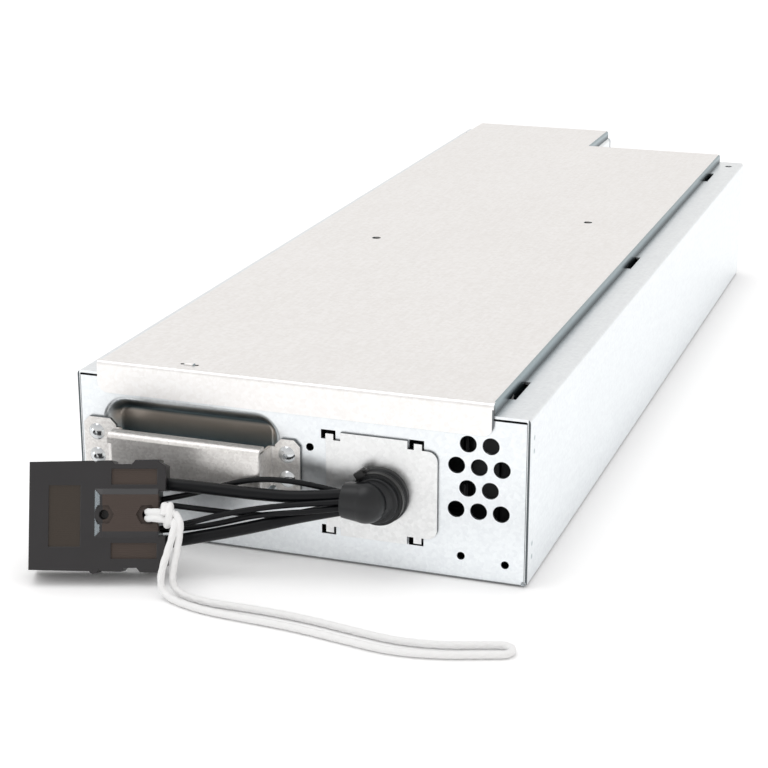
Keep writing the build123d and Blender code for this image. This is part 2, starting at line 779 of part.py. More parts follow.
def mouth_point(dy, dz):
    """A wire's start, a little inside the boot's inner face."""
    x = boot_mouth_x + boot_mouth_depth + boot_wire_depth
    return (x, front_y - boot_elbow_stand_off + dy, gland_z + dz)


def power_wires():
    """The two thick leads from the boot to the plug's rear."""
    rear = plug_length + plug_end_step - plug_wire_depth
    route = from_gland([(-29.9, -16.6, 0.3), (-50.5, -20.5, 0.8), (-71.0, -24.4, 2.4)])
    upper = [mouth_point(-0.6, 2.8)] + route + [on_plug(rear, 38.0, 8)]
    route = from_gland([(-29.4, -18.9, -7.0), (-49.0, -25.3, -12.2), (-68.6, -31.4, -16.6)])
    lower = [mouth_point(-0.6, -3.4)] + route + [on_plug(rear, 12.6, 8)]
    return [tube("power_wire_positive", upper, power_wire, 5 * power_wire),
            tube("power_wire_negative", lower, power_wire, 5 * power_wire)]


def sense_wires():
    """The four thin leads between the boot and the plug's middle."""
    rear = plug_length - 1
    ends = [on_plug(rear, 31.1, 11), on_plug(rear, 29.4, 6), on_plug(rear, 18.4, 5),
            on_plug(rear, 17.9, 10.5)]
    starts = [mouth_point(3.3, 1.5), mouth_point(3.3, -1.5), mouth_point(-4.6, 1.2),
              mouth_point(-4.6, -1.8)]
    routes = [
        [(-24.0, -10.6, 3.8), (-38.4, -13.6, 6.2), (-52.7, -16.2, 6.0), (-66.6, -18.6, 2.2),
         (-79.9, -23.5, -2.1)],
        [(-26.2, -11.9, -6.6), (-42.9, -16.0, -10.0), (-59.5, -21.3, -9.0),
         (-75.6, -27.9, -6.3)],
        [(-23.7, -19.5, -0.4), (-37.3, -22.8, -1.9), (-50.8, -26.2, -4.1),
         (-64.0, -30.2, -7.0), (-76.9, -34.4, -11.0)],
        [(-23.5, -20.9, -3.4), (-37.2, -24.4, -4.8), (-51.0, -24.5, -7.8),
         (-64.4, -26.4, -12.2), (-77.9, -30.3, -15.0)],
    ]
    wires = []
    for i, (start, route, end) in enumerate(zip(starts, routes, ends), 1):
        points = [start] + from_gland(route) + [end]
        wires.append(tube(f"sense_wire_{i}", points, sense_wire, 5 * sense_wire))
    return wires


def cord_route():
    """The pull cord: from the knot down to the floor, out along it, round and back."""
    z = pull_cord / 2
    out = [(61.9, 11.1, 13.0), (61.6, 6.6, 5.4), (68.1, 3.0, z), (83.1, 5.4, z),
           (103.1, 6.5, z), (125.1, 5.0, z), (147.1, 0.8, z), (167.1, -2.4, z),
           (185.1, -0.2, z), (201.1, 5.6, z), (211.6, 9.2, z)]
    back = [(214.4, 1.0, z), (203.6, -2.8, z), (187.1, -9.0, z), (167.1, -12.0, z),
            (145.1, -8.2, z), (123.1, -4.2, z), (101.1, -2.8, z), (81.1, -3.2, z),
            (66.1, -4.0, z), (56.9, 2.0, 4.6), (57.9, 9.5, 13.0)]
    return from_plug(out), from_plug(back)


def knot_centre():
    x, y, z = on_plug(plug_length + 5.5, 24.5, -6.0)
    return x, y, z


def pull_cord_loop():
    """The white cord: one length, doubled, both ends in the knot."""
    out, back = cord_route()
    x, y, z = knot_centre()
    start = (x + 2.0, y - 0.5, z - 3.6)
    end = (x - 2.0, y - 0.5, z - 3.6)
    points = [start] + out + back + [end]
    return tube("pull_cord", points, pull_cord, pull_cord)


def pull_cord_knot(cord):
    """The knot beside the plug and the bight that goes through the second bolt hole."""
    x, y, z = knot_centre()
    knot = scale(Sphere(knot_diameter / 2), by=(0.95, 0.95, 1.0))
    knot = Pos(x, y, z) * Rot(0, 20, 18) * knot
    hole = on_plug(plug_bore_u[1], plug_bore_v, 2.0)
    face = on_plug(plug_bore_u[1], plug_bore_v, -plug_block_rise - 3.4)
    path = FilletPolyline(hole, face, (x, y, z), radius=2.0)
    start = Plane(origin=path @ 0, z_dir=path % 0)
    bight = sweep(start * Circle(1.9), path=path)
    return knot + bight - cord


def column_x(column):
    """The middle of the left or right column of blocks."""
    return column_shift + (battery_width + column_gap) / 2 * (-1, 1)[column]


def battery_front(row):
    """The y of a block's terminal face, its terminals standing forward of it."""
    return front_y + first_terminal_y + terminal_height + row * battery_pitch


def battery(column, row):
    """A sealed block on its side: rounded case, lid seam and two blade terminals."""
    x = column_x(column)
    y0 = battery_front(row)
    z = floor_z + battery_height / 2
    case = Pos(x, y0 + battery_depth / 2, z) * Box(battery_width, battery_depth,
                                                   battery_height)
    case = fillet(case.edges().filter_by(Axis.Y), battery_edge)
    seam_y = y0 + 14
    rim = Box(battery_width + 2, 0.8, battery_height + 2)
    rim -= Box(battery_width - 1.2, 2, battery_height - 1.2)
    case -= Pos(x, seam_y, z) * rim
    for side in (-1, 1):
        tx = x + side * terminal_offset
        well = block(tx - 6, tx + 6, y0 - 1, y0 + 1.5, z - 6, z + 6)
        blade = block(tx - terminal_thickness / 2, tx + terminal_thickness / 2,
                      y0 - terminal_height, y0 + 3, z - terminal_width / 2,
                      z + terminal_width / 2)
        case = case - well + blade
    return case


def terminal_z():
    return floor_z + battery_height / 2


def terminal_room(x, y):
    """The room that a blade takes in its receptacle."""
    z = terminal_z()
    return block(x - terminal_thickness / 2, x + terminal_thickness / 2,
                 y - terminal_height / 2, y + terminal_height, z - terminal_width / 2,
                 z + terminal_width / 2)


def receptacle_solid(x, y):
    """A flag receptacle pushed on a blade, with the blade's slot."""
    thickness, depth, height = receptacle
    z = terminal_z()
    body = block(x - thickness / 2, x + thickness / 2, y - depth / 2, y + depth / 2,
                 z - terminal_width / 2 - 0.9, z - terminal_width / 2 - 0.9 + height)
    return body - terminal_room(x, y)


def series_link(column, row):
    """A short lead over the top of one block to the next block's terminal."""
    side = 1 if row % 2 == 0 else -1
    x = column_x(column) + side * terminal_offset
    y_mid = terminal_height / 2
    y0 = battery_front(row) - y_mid
    y1 = battery_front(row + 1) - y_mid
    z0 = terminal_z() + terminal_width / 2
    z1 = floor_z + battery_height + link_wire / 2 + 0.3
    path = FilletPolyline((x, y0, z0), (x, y0, z1), (x, y1, z1), (x, y1, z0),
                          radius=link_wire * 0.6)
    start = Plane(origin=path @ 0, z_dir=path % 0)
    lead = sweep(start * Circle(link_wire / 2), path=path)
    for y in (y0, y1):
        lead = lead + receptacle_solid(x, y) - terminal_room(x, y)
    return lead


def series_links():
    links = [series_link(column, row) for column in (0, 1) for row in range(battery_rows - 1)]
    return Compound(children=links)


def liner_sheet():
    """The insulating sheet on the tray's floor."""
    inset = 4.0
    outline = Polygon((-inner_half + inset, front_y + bend_leg + 1),
                      (inner_half - inset, front_y + bend_leg + 1),
                      (inner_half - inset, right_rear_y - bend_leg - 1),
                      (notch_x - inset, right_rear_y - bend_leg - 1),
                      (notch_x - inset, rear_y - bend_leg - 1),
                      (-inner_half + inset, rear_y - bend_leg - 1), align=None)
    return along_z(outline, sheet, sheet + liner)


def top_pads():
    """Foam strips between the blocks and the lid, one over each row."""
    z0 = floor_z + battery_height
    z1 = lid_top - sheet
    half = terminal_offset - 6
    pads = []
    for column in (0, 1):
        for row in range(battery_rows):
            x = column_x(column)
            y = battery_front(row) + battery_depth / 2
            pads.append(block(x - half, x + half, y - pad_width / 2, y + pad_width / 2, z0, z1))
    return Compound(children=pads)


def side_pads():
    """Foam strips between the blocks and the tray's sides."""
    left = column_x(0) - battery_width / 2
    right = column_x(1) + battery_width / 2
    y0 = battery_front(0) + 2
    y1 = battery_front(battery_rows - 1) + battery_depth - 2
    z1 = floor_z + side_pad_height
    middle_x = column_x(0) + battery_width / 2
    pads = [block(-inner_half + side_pad_gap, left - side_pad_gap, y0, y1, floor_z, z1),
            block(right + side_pad_gap, inner_half - side_pad_gap, y0, y1, floor_z, z1),
            block(middle_x + side_pad_gap, middle_x + column_gap - side_pad_gap, y0, y1,
                  floor_z, z1)]
    return pads


def fuse_place():
    """The middle of the fuse, behind the left column."""
    return column_x(0) + fuse_offset, rear_y - fuse_inset


def fuse_parts():
    """The mid-string fuse behind the left column: base, fuse and its screws."""
    x, y = fuse_place()
    width, depth, height = fuse_base
    base = block(x - width / 2, x + width / 2, y - depth / 2, y + depth / 2, floor_z,
                 floor_z + height)
    base = fillet(base.edges().filter_by(Axis.Z), 2.0)
    blade_w, blade_l, blade_t = fuse_blade
    top = floor_z + height
    screws = []
    reach = fuse_body_length / 2 + blade_l / 2
    axis_z = top + fuse_body_diameter / 2
    body = Pos(x, y, axis_z) * Rot(0, 90, 0) * Cylinder(fuse_body_diameter / 2,
                                                        fuse_body_length - 4)
    bed = block(x - fuse_body_length / 2 + 2, x + fuse_body_length / 2 - 2, y - 5, y + 5,
                top, axis_z)
    fuse = body + bed
    for side in (-1, 1):
        cap = Pos(x + side * (fuse_body_length / 2 - 1), y, axis_z) * Rot(0, 90, 0)
        cap *= Cylinder(fuse_body_diameter / 2 - 0.6, 2)
        x0 = x + side * fuse_body_length / 2
        x1 = x0 + side * blade_l
        blade = block(min(x0, x1), max(x0, x1), y - blade_w / 2, y + blade_w / 2, top,
                      top + blade_t)
        web = block(min(x0 - side * 2, x0), max(x0 - side * 2, x0), y - blade_w / 2,
                    y + blade_w / 2, top, axis_z)
        fuse += cap + blade + web
        sx = x + side * reach
        fuse -= Pos(sx, y, top) * Cylinder(2.1, 20)
        base -= Pos(sx, y, top) * Cylinder(1.7, 12)
        seat = top + blade_t + lug_thickness
        head = Pos(sx, y, seat + 1.2) * Cylinder(3.5, 2.4)
        shank = Pos(sx, y, seat - 4) * Cylinder(1.65, 8)
        drive = Pos(sx, y, seat + 2.4) * (Box(4.6, 0.8, 2) + Box(0.8, 4.6, 2))
        screws.append(head + shank - drive)
    return base, fuse, Compound(children=screws)


def rear_pads():
    """Foam blocks that fill the step behind the left column, each side of the fuse."""
    y0 = battery_front(battery_rows - 1) + battery_depth + 0.3
    y1 = rear_y - sheet - 0.3
    x, _ = fuse_place()
    gap = fuse_base[0] / 2 + 8
    left = -inner_half + 3
    return block(left, x - gap, y0, y1, floor_z, floor_z + side_pad_height)


def inner_tube(points, diameter):
    """A fixed lead inside the tray, given with y from the front panel."""
    path = FilletPolyline(*shifted(points), radius=inner_bend)
    start = Plane(origin=path @ 0, z_dir=path % 0)
    return sweep(start * Circle(diameter / 2), path=path)


def lane():
    """The y of the terminals of the first blocks, from the front panel."""
    return first_terminal_y + terminal_height / 2


def inner_power_leads():
    """Leads from the gland to the first block of each column."""
    y0 = gland_inside - gland_bore_depth
    y = lane()
    z = terminal_z()
    right_x = column_x(1) - terminal_offset
    left_x = column_x(0) - terminal_offset
    over = z + terminal_width / 2 + 0.6
    under = z - terminal_width / 2 - 0.6
    x = gland_x - 3.4
    high = gland_z + 3 + lead_rise
    low = gland_z - 5 - lead_drop
    positive = [(x, y0, gland_z + 3), (x, y, gland_z + 3), (x, y, high), (right_x, y, high),
                (right_x, y, over)]
    negative = [(x, y0, gland_z - 3), (x, y, gland_z - 3), (x, y, low), (left_x, y, low),
                (left_x, y, under)]
    leads = []
    for points in (positive, negative):
        receptacle_part = receptacle_solid(points[-1][0], front_y + y)
        lead = inner_tube(points, inner_wire)
        leads.append(lead + receptacle_part - terminal_room(points[-1][0], front_y + y))
    return leads


def fuse_leads():
    """Leads from the last blocks over their tops to the fuse, each with a ring lug."""
    x, y = fuse_place()
    y -= front_y
    reach = fuse_body_length / 2 + fuse_blade[1] / 2
    y0 = battery_front(battery_rows - 1) - front_y - terminal_height / 2
    z0 = terminal_z() + terminal_width / 2
    z1 = floor_z + battery_height + inner_wire / 2 + 0.3
    z2 = floor_z + fuse_base[2] + fuse_blade[2] + lug_thickness / 2
    leads = []
    for column, side, turn_y in ((0, -1, y - 55), (1, 1, y - 42)):
        x0 = column_x(column) + terminal_offset
        x1 = x + side * reach
        end_y = y - lug_diameter / 2 - 4
        points = [(x0, y0, z0), (x0, y0, z1), (x0, turn_y, z1), (x1, turn_y, z1),
                  (x1, end_y, z1), (x1, end_y, z2 + 2)]
        lead = inner_tube(points, inner_wire)
        lug = Pos(x1, front_y + y, z2) * Cylinder(lug_diameter / 2, lug_thickness)
        neck = block(x1 - 2.4, x1 + 2.4, front_y + end_y - 2, front_y + y,
                     z2 - lug_thickness / 2, z2 + lug_thickness / 2)
        crimp = block(x1 - 2.4, x1 + 2.4, front_y + end_y - 2.4, front_y + end_y + 2.4,
                      z2 - lug_thickness / 2, z2 + 5)
        lug = lug + neck - Pos(x1, front_y + y, z2) * Cylinder(1.75, 5)
        lead = lead + receptacle_solid(x0, front_y + y0) - terminal_room(x0, front_y + y0)
        leads.append(lead + crimp + lug)
    return Compound(children=leads)


def sensor_x():
    """The sensor stands behind the gland, so that its leads clear the power leads."""
    return gland_x + sensor_from_gland


def inner_sense_leads():
    """Thin leads: two to the temperature sensor and two to the first links' receptacles."""
    y0 = gland_inside - gland_bore_depth
    y = lane()
    top_z = floor_z + battery_height + sensor_size[2] / 2
    under = terminal_z() - terminal_width / 2 - 0.9
    sensor_y = battery_front(0) + sensor_lead_y - front_y
    left_x = sensor_x() - sensor_lead_pitch / 2
    leads = []
    for dx, dz, x in ((1.5, 4.5, left_x), (5.1, 1.5, left_x + sensor_lead_pitch)):
        start = (gland_x + dx, y0, gland_z + dz)
        points = [start, (start[0], y - 0.4, start[2]), (x, y - 0.4, start[2] + lead_rise),
                  (x, y - 0.4, top_z), (x, sensor_y, top_z)]
        leads.append(inner_tube(points, sense_wire))
    for dx, dz, x in ((-6.0, 0.0, column_x(0) + terminal_offset),
                      (4.6, -2.6, column_x(1) + terminal_offset)):
        start = (gland_x + dx, y0, gland_z + dz)
        bend = start[0] + (12 if dx > 0 else -12)
        low = gland_z - lead_drop
        points = [start, (start[0], y, start[2]), (bend, y, low), (x, y, low), (x, y, under)]
        leads.append(inner_tube(points, sense_wire))
    return Compound(children=leads)


def temperature_sensor():
    """A small moulded sensor on top of the first right-hand block."""
    x = sensor_x()
    y = battery_front(0) + sensor_lead_y
    z = floor_z + battery_height
    width, depth, height = sensor_size
    body = block(x - width / 2, x + width / 2, y, y + depth, z, z + height)
    return fillet(body.faces().sort_by(Axis.Z)[-1].edges(), 0.8)


def save(shape, name):
    export_step(shape, os.path.join("parts", name + ".step"))


def main():
    os.makedirs("parts", exist_ok=True)
    save(tray(), "tray")
    save(lid(), "lid")
    save(handle_bracket(), "handle_bracket")
    save(handle_rivets(), "handle_rivets")
    save(cable_plate(), "cable_plate")
    save(gland_collar(), "gland_collar")
    save(gland_nut(), "gland_nut")
    power = power_wires()
    sense = sense_wires()
    save(cable_boot(power + sense), "cable_boot")
    save(boot_tie(), "boot_tie")
    save(plug_housing(power + sense), "plug_housing")
    save(plug_contacts(), "plug_contacts")
    save(power[0], "power_wire_positive")
    save(power[1], "power_wire_negative")
    for i, wire in enumerate(sense, 1):
        save(wire, f"sense_wire_{i}")
    cord = pull_cord_loop()
    save(cord, "pull_cord")
    save(pull_cord_knot(cord), "pull_cord_knot")
    number = 1
    for column in (0, 1):
        for row in range(battery_rows):
            save(battery(column, row), f"battery_{number:02d}")
            number += 1
    save(series_links(), "series_links")
    save(liner_sheet(), "liner_sheet")
    save(top_pads(), "top_pads")
    for name, pad in zip(("side_pad_left", "side_pad_right", "middle_pad"), side_pads()):
        save(pad, name)
    base, fuse, screws = fuse_parts()
    save(base, "fuse_base")
    save(fuse, "fuse")
    save(screws, "fuse_screws")
    save(rear_pads(), "rear_pad")
    positive, negative = inner_power_leads()
    save(positive, "inner_lead_positive")
    save(negative, "inner_lead_negative")
    save(fuse_leads(), "fuse_leads")
    save(inner_sense_leads(), "inner_sense_leads")
    save(temperature_sensor(), "temperature_sensor")


main()
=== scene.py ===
# %% [markdown]
# # Dressing a battery cartridge
# The solids of this cartridge come from its CAD model. Blender's work is what the eye reads:
# zinc-coated sheet, moulded plastic, soft rubber, a braided cord and the light on them.
# The CAD model loads as a fixed frame, and every piece is made in metres in that same frame.

# %% Load the frame
import math

import bmesh
import bpy
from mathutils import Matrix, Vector


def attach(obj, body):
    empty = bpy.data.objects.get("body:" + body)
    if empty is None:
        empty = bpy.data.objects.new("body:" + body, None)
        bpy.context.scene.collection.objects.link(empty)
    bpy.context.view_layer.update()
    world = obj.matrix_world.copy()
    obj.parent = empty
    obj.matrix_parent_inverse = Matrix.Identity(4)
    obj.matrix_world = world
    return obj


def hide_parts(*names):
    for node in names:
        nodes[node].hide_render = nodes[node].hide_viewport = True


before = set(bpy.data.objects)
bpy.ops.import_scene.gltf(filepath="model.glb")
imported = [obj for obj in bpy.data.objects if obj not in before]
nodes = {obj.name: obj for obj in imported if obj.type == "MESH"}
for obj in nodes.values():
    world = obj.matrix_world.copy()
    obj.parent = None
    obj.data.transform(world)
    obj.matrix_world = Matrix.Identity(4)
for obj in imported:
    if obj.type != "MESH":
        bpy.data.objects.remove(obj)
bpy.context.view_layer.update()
print("CAD nodes:", len(nodes))

# %% [markdown]
# ## The camera
# A product photographer stands a little to the right of the front and looks down on it. The
# camera is placed by its distance from a point that it looks at, and by two angles, because
# those four values can be judged from the photograph one at a time. Only the lens then sets
# how large the cartridge is in the frame.

# %% Camera
MM = 0.001
front_y = -302.5 * MM


def from_front(x, y, z):
    """A point in metres, from millimetres with y counted from the front panel."""
    return Vector((x * MM, front_y + y * MM, z * MM))


def add_object(name, data):
    """An object in the scene that holds a mesh, a curve, a lamp or a camera."""
    made = bpy.data.objects.new(name, data)
    bpy.context.scene.collection.objects.link(made)
    return made


camera_azimuth = math.radians(19.16)
camera_elevation = math.radians(18.33)
camera_distance = 0.8152
camera_target = from_front(40.56, 0, 84.87)
camera_back = Vector((math.sin(camera_azimuth) * math.cos(camera_elevation),
                      -math.cos(camera_azimuth) * math.cos(camera_elevation),
                      math.sin(camera_elevation)))
camera_data = bpy.data.cameras.new("camera")
camera_data.sensor_width = 36.0
camera_data.lens = 90.27
camera_data.clip_start = 0.05
camera_data.clip_end = 50.0
camera = add_object("camera", camera_data)
camera.location = camera_target + camera_back * camera_distance
camera.rotation_euler = (-camera_back).to_track_quat("-Z", "Y").to_euler()
bpy.context.scene.camera = camera
print("camera at", [round(c, 3) for c in camera.location])

# %% [markdown]
# ## Leads and cord
# Soft things come next, because they lie where their weight puts them. Each one is a smooth
# spline that follows the points of its route: a spline of order 3 has no corners, and it starts
# and ends exactly at its first and last point. The leads run from the elbow boot to the plug.
# The plug is turned and leans back, so a point on it is easiest to give in its own frame.

# %% Where the plug lies
plug_yaw = math.radians(19.0)
plug_lean = math.radians(22.0)
plug_thickness = 16.0
plug_corner_x = -97.1
plug_corner_y = -67.0
plug_along = Vector((math.cos(plug_yaw), math.sin(plug_yaw), 0))
plug_out = Vector((math.sin(plug_yaw) * math.cos(plug_lean),
                   -math.cos(plug_yaw) * math.cos(plug_lean), math.sin(plug_lean)))
plug_up = plug_out.cross(plug_along)
plug_corner = from_front(plug_corner_x, plug_corner_y,
                         plug_thickness * math.sin(plug_lean))


def on_plug(u, v, depth):
    """A point of the plug: u along it towards the leads, v up it, depth behind its face."""
    return plug_corner + (plug_along * u + plug_up * v - plug_out * depth) * MM


print("plug corner at", [round(c, 4) for c in plug_corner])

# %% A spline along a route
def route_curve(name, points):
    """A NURBS curve of order 3 with the route's points as its control points.

    Blender widens a curve's box by its points' radius in metres, so each radius is one
    millimetre, and a bevel is then given in millimetres.
    """
    data = bpy.data.curves.new(name, "CURVE")
    data.dimensions = "3D"
    spline = data.splines.new("NURBS")
    spline.points.add(len(points) - 1)
    for control, point in zip(spline.points, points):
        control.co = (*point, 1.0)
        control.radius = MM
    spline.order_u = 3
    spline.use_endpoint_u = True
    return add_object(name, data)


def curve_line(curve):
    """The points that the curve's own line follows."""
    bpy.context.view_layer.update()
    mesh = bpy.data.meshes.new_from_object(curve.evaluated_get(
        bpy.context.evaluated_depsgraph_get()))
    line = [v.co.copy() for v in mesh.vertices]
    bpy.data.meshes.remove(mesh)
    return line


def line_length(line):
    """The length of a line, in the unit of its points."""
    return sum((b - a).length for a, b in zip(line, line[1:]))


print("route helpers ready")

# %% [markdown]
# ### The six leads
# Two thick leads carry the power and four thin ones carry the sensing. All of them come out of
# the boot's mouth in one bundle and spread towards the plug's end. They are short and fairly
# stiff, so they hang in shallow bows. A bevel turns each spline into a round lead, which stays
# easy to move: only the points of its route are written down.

# %% Where the leads start
gland_x = 39.8
gland_z = 35.0
boot_mouth = -10.9
boot_stand_off = 12.4
power_diameter = 5.5
sense_diameter = 2.5
power_end_u = 56.9
sense_end_u = 54.6


def from_gland(x, y, z):
    """A point given from the gland's centre on the front panel."""
    return from_front(gland_x + x, y, gland_z + z)


def at_mouth(dy, dz):
    """A lead's start, inside the boot's mouth."""
    return from_gland(boot_mouth, dy - boot_stand_off, dz)


print("the boot's mouth is at", [round(c, 4) for c in at_mouth(0, 0)])

# %% The leads' routes
# Each lead: its CAD node, its diameter, its start in the mouth, its way from the gland's
# centre, and its end in the plug, all in millimetres.
lead_routes = {
    "power_lead_upper": ("power_wire_positive", power_diameter, (-0.6, 2.8),
                         [(-29.9, -16.6, 0.3), (-50.5, -20.5, 0.8), (-71.0, -24.4, 2.4)],
                         (power_end_u, 38.0, 8)),
    "power_lead_lower": ("power_wire_negative", power_diameter, (-0.6, -3.4),
                         [(-29.4, -18.9, -7.0), (-49.0, -25.3, -12.2), (-68.6, -31.4, -16.6)],
                         (power_end_u, 12.6, 8)),
    "sense_lead_1": ("sense_wire_1", sense_diameter, (3.3, 1.5),
                     [(-24.0, -10.6, 3.8), (-38.4, -13.6, 6.2), (-52.7, -16.2, 6.0),
                      (-66.6, -18.6, 2.2), (-79.9, -23.5, -2.1)],
                     (sense_end_u, 31.1, 11)),
    "sense_lead_2": ("sense_wire_2", sense_diameter, (3.3, -1.5),
                     [(-26.2, -11.9, -6.6), (-42.9, -16.0, -10.0), (-59.5, -21.3, -9.0),
                      (-75.6, -27.9, -6.3)],
                     (sense_end_u, 29.4, 6)),
    "sense_lead_3": ("sense_wire_3", sense_diameter, (-4.6, 1.2),
                     [(-23.7, -19.5, -0.4), (-37.3, -22.8, -1.9), (-50.8, -26.2, -4.1),
                      (-64.0, -30.2, -7.0), (-76.9, -34.4, -11.0)],
                     (sense_end_u, 18.4, 5)),
    "sense_lead_4": ("sense_wire_4", sense_diameter, (-4.6, -1.8),
                     [(-23.5, -20.9, -3.4), (-37.2, -24.4, -4.8), (-51.0, -24.5, -7.8),
                      (-64.4, -26.4, -12.2), (-77.9, -30.3, -15.0)],
                     (sense_end_u, 17.9, 10.5)),
}
print("routes for", len(lead_routes), "leads")

# %% Make the leads
leads = []
for name, (cad_node, diameter, start, middle, end) in lead_routes.items():
    points = [at_mouth(*start)] + [from_gland(*p) for p in middle] + [on_plug(*end)]
    lead = route_curve(name, points)
    length = line_length(curve_line(lead))
    lead.data.bevel_depth = diameter / 2
    lead.data.bevel_resolution = 5
    lead.data.resolution_u = 16
    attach(lead, "root")
    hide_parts(cad_node)
    leads.append(lead)
    print(name, "is", round(length / MM, 1), "mm long")

# %% [markdown]
# ### The pull cord
# The white cord is a soft braid, about 3 mm thick. It is doubled into a loop, so both of its
# ends go into one knot beside the plug. A plain round tube would look like plastic, so the
# braid's plaits are real geometry, lifted out of the tube's surface. Eight plaits are drawn,
# four winding each way, and they cross every three millimetres. That is coarser than a real
# cord, whose finer plaits would not show from here.

# %% The cord's route
cord_diameter = 3.2
cord_z = cord_diameter / 2
knot_middle = on_plug(61.1, 24.5, -6.0)


def by_knot(x, y, z):
    """A point given from the knot's middle."""
    return knot_middle + Vector((x, y, z)) * MM


def from_plug(x, y, z):
    """A point given along the floor from the plug's lower left corner."""
    return from_front(plug_corner_x + x, plug_corner_y + y, z)


cord_out_start = by_knot(2.4, -0.4, 1.2)
cord_back_start = by_knot(2.4, -1.8, -1.6)
cord_out = [(62.3, 21.8, 30.6), (62.8, 18.6, 23.8), (62.8, 14.8, 16.6), (62.2, 12.2, 10.0),
            (62.6, 11.2, 4.0), (68.0, 9.4, cord_z), (75.4, 7.4, cord_z), (85.1, 6.2, cord_z),
            (103.1, 6.5, cord_z), (125.1, 5.0, cord_z), (147.1, 0.8, cord_z),
            (167.1, -2.4, cord_z), (185.1, -0.2, cord_z), (201.1, 5.6, cord_z),
            (211.6, 9.2, cord_z)]
cord_back = [(214.4, 1.0, cord_z), (203.6, -2.8, cord_z), (187.1, -9.0, cord_z),
             (167.1, -12.0, cord_z), (145.1, -8.2, cord_z), (123.1, -4.2, cord_z),
             (101.1, -2.8, cord_z), (83.1, -1.6, cord_z), (71.0, 1.8, cord_z),
             (63.4, 5.4, cord_z), (58.8, 7.4, 4.0), (58.4, 8.6, 10.0), (59.4, 11.4, 16.4),
             (60.4, 15.4, 22.6), (60.6, 19.2, 28.4)]
cord_points = ([cord_out_start] + [from_plug(*p) for p in cord_out + cord_back]
               + [cord_back_start])
print("cord's route has", len(cord_points), "points")

# %% The cord's line
def spline_line(name, points, resolution):
    """The line of a spline, which is read from a curve and the curve thrown away."""
    curve = route_curve(name, points)
    curve.data.resolution_u = resolution
    line = curve_line(curve)
    bpy.data.objects.remove(curve)
    return line


cord_line = spline_line("cord_route", cord_points, resolution=40)

# %% A braided tube along a line
def frames_along(line):
    """A point, its direction and one side direction that doesn't twist, all along a line."""
    side = None
    made = []
    for i, point in enumerate(line):
        ahead = line[min(i + 1, len(line) - 1)] - line[max(i - 1, 0)]
        ahead.normalize()
        if side is None:
            side = ahead.orthogonal().normalized()
        side = (side - ahead * side.dot(ahead)).normalized()
        made.append((point, ahead, side))
    return made


def plait_radius(angle, travelled, diameter, plaits=8, pitch=3.0, proud=0.07):
    """The braid's radius at one angle, where half of the plaits wind each way."""
    turn = 2 * math.pi * travelled / (pitch * MM * plaits / 4)
    one = math.cos(plaits / 2 * angle + turn)
    two = math.cos(plaits / 2 * angle - turn)
    return diameter / 2 * MM * (1.0 + proud * (max(one, two) - 1.0))


def braid_rings(work, line, diameter, around):
    """Rings of vertices along a line, pushed in between the plaits."""
    rings = []
    travelled = 0.0
    last = line[0]
    for point, ahead, side in frames_along(line):
        travelled += (point - last).length
        last = point
        other = ahead.cross(side)
        ring = []
        for k in range(around):
            angle = 2 * math.pi * k / around
            radius = plait_radius(angle, travelled, diameter)
            ring.append(work.verts.new(point + (side * math.cos(angle)
                                                + other * math.sin(angle)) * radius))
        rings.append(ring)
    return rings


print("plaits reach", round(plait_radius(0, 0, cord_diameter) / MM, 2), "mm from the line")

# %% The cord's mesh
def braided_tube(name, line, diameter, around=24):
    """A closed mesh tube whose surface carries plaits that wind both ways."""
    mesh = bpy.data.meshes.new(name)
    work = bmesh.new()
    rings = braid_rings(work, line, diameter, around)
    for one, two in zip(rings, rings[1:]):
        for k in range(around):
            n = (k + 1) % around
            work.faces.new((one[k], two[k], two[n], one[n]))
    work.faces.new(rings[0])
    work.faces.new(list(reversed(rings[-1])))
    bmesh.ops.recalc_face_normals(work, faces=work.faces)
    for face in work.faces:
        face.smooth = True
    work.to_mesh(mesh)
    work.free()
    return add_object(name, mesh)


pull_cord = braided_tube("pull_cord_braid", cord_line, cord_diameter)
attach(pull_cord, "root")
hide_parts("pull_cord")
print("braid has", len(pull_cord.data.polygons), "faces")

# %% [markdown]
# ### The knot
# The doubled cord comes out of the plug's bolt hole, runs along its face and is held by a wrap
# round both strands. A ball would hide how it is tied, so the two strands and the wrap are
# braided tubes of the same cord, each along its own short spline, joined into one piece. The
# wrap is a helix that leans a little, as a pulled knot does.

# %% The strands' routes
strand_upper_v = 25.9
strand_lower_v = 23.2


def strand_points(v, last):
    """One strand: out of the hole, along the plug's face and on to the cord's end."""
    return [on_plug(50.6, v, 7.0), on_plug(50.7, v, 1.0), on_plug(51.6, v, -3.6),
            on_plug(55.6, v, -5.8), last]


strand_routes = {"strand_upper": strand_points(strand_upper_v, cord_out_start),
                 "strand_lower": strand_points(strand_lower_v, cord_back_start)}
print("strands are", round(strand_upper_v - strand_lower_v, 1), "mm apart")

# %% The wrap's route
wrap_turns = 1.5
wrap_steps = 12
wrap_start = -2.9
wrap_length = 3.4
wrap_lean = 0.5
wrap_tall = 4.5
wrap_deep = 3.1
wrap_sunk = 0.2
wrap_points = []
for k in range(wrap_steps + 1):
    turn = 2 * math.pi * wrap_turns * k / wrap_steps - math.pi / 2
    along = wrap_start + wrap_length * k / wrap_steps - wrap_lean * math.sin(turn)
    wrap_points.append(knot_middle
                       + (plug_along * along
                          + plug_up * wrap_tall * math.cos(turn)
                          + plug_out * (-wrap_sunk - wrap_deep * math.sin(turn))) * MM)
print("wrap has", len(wrap_points), "points")

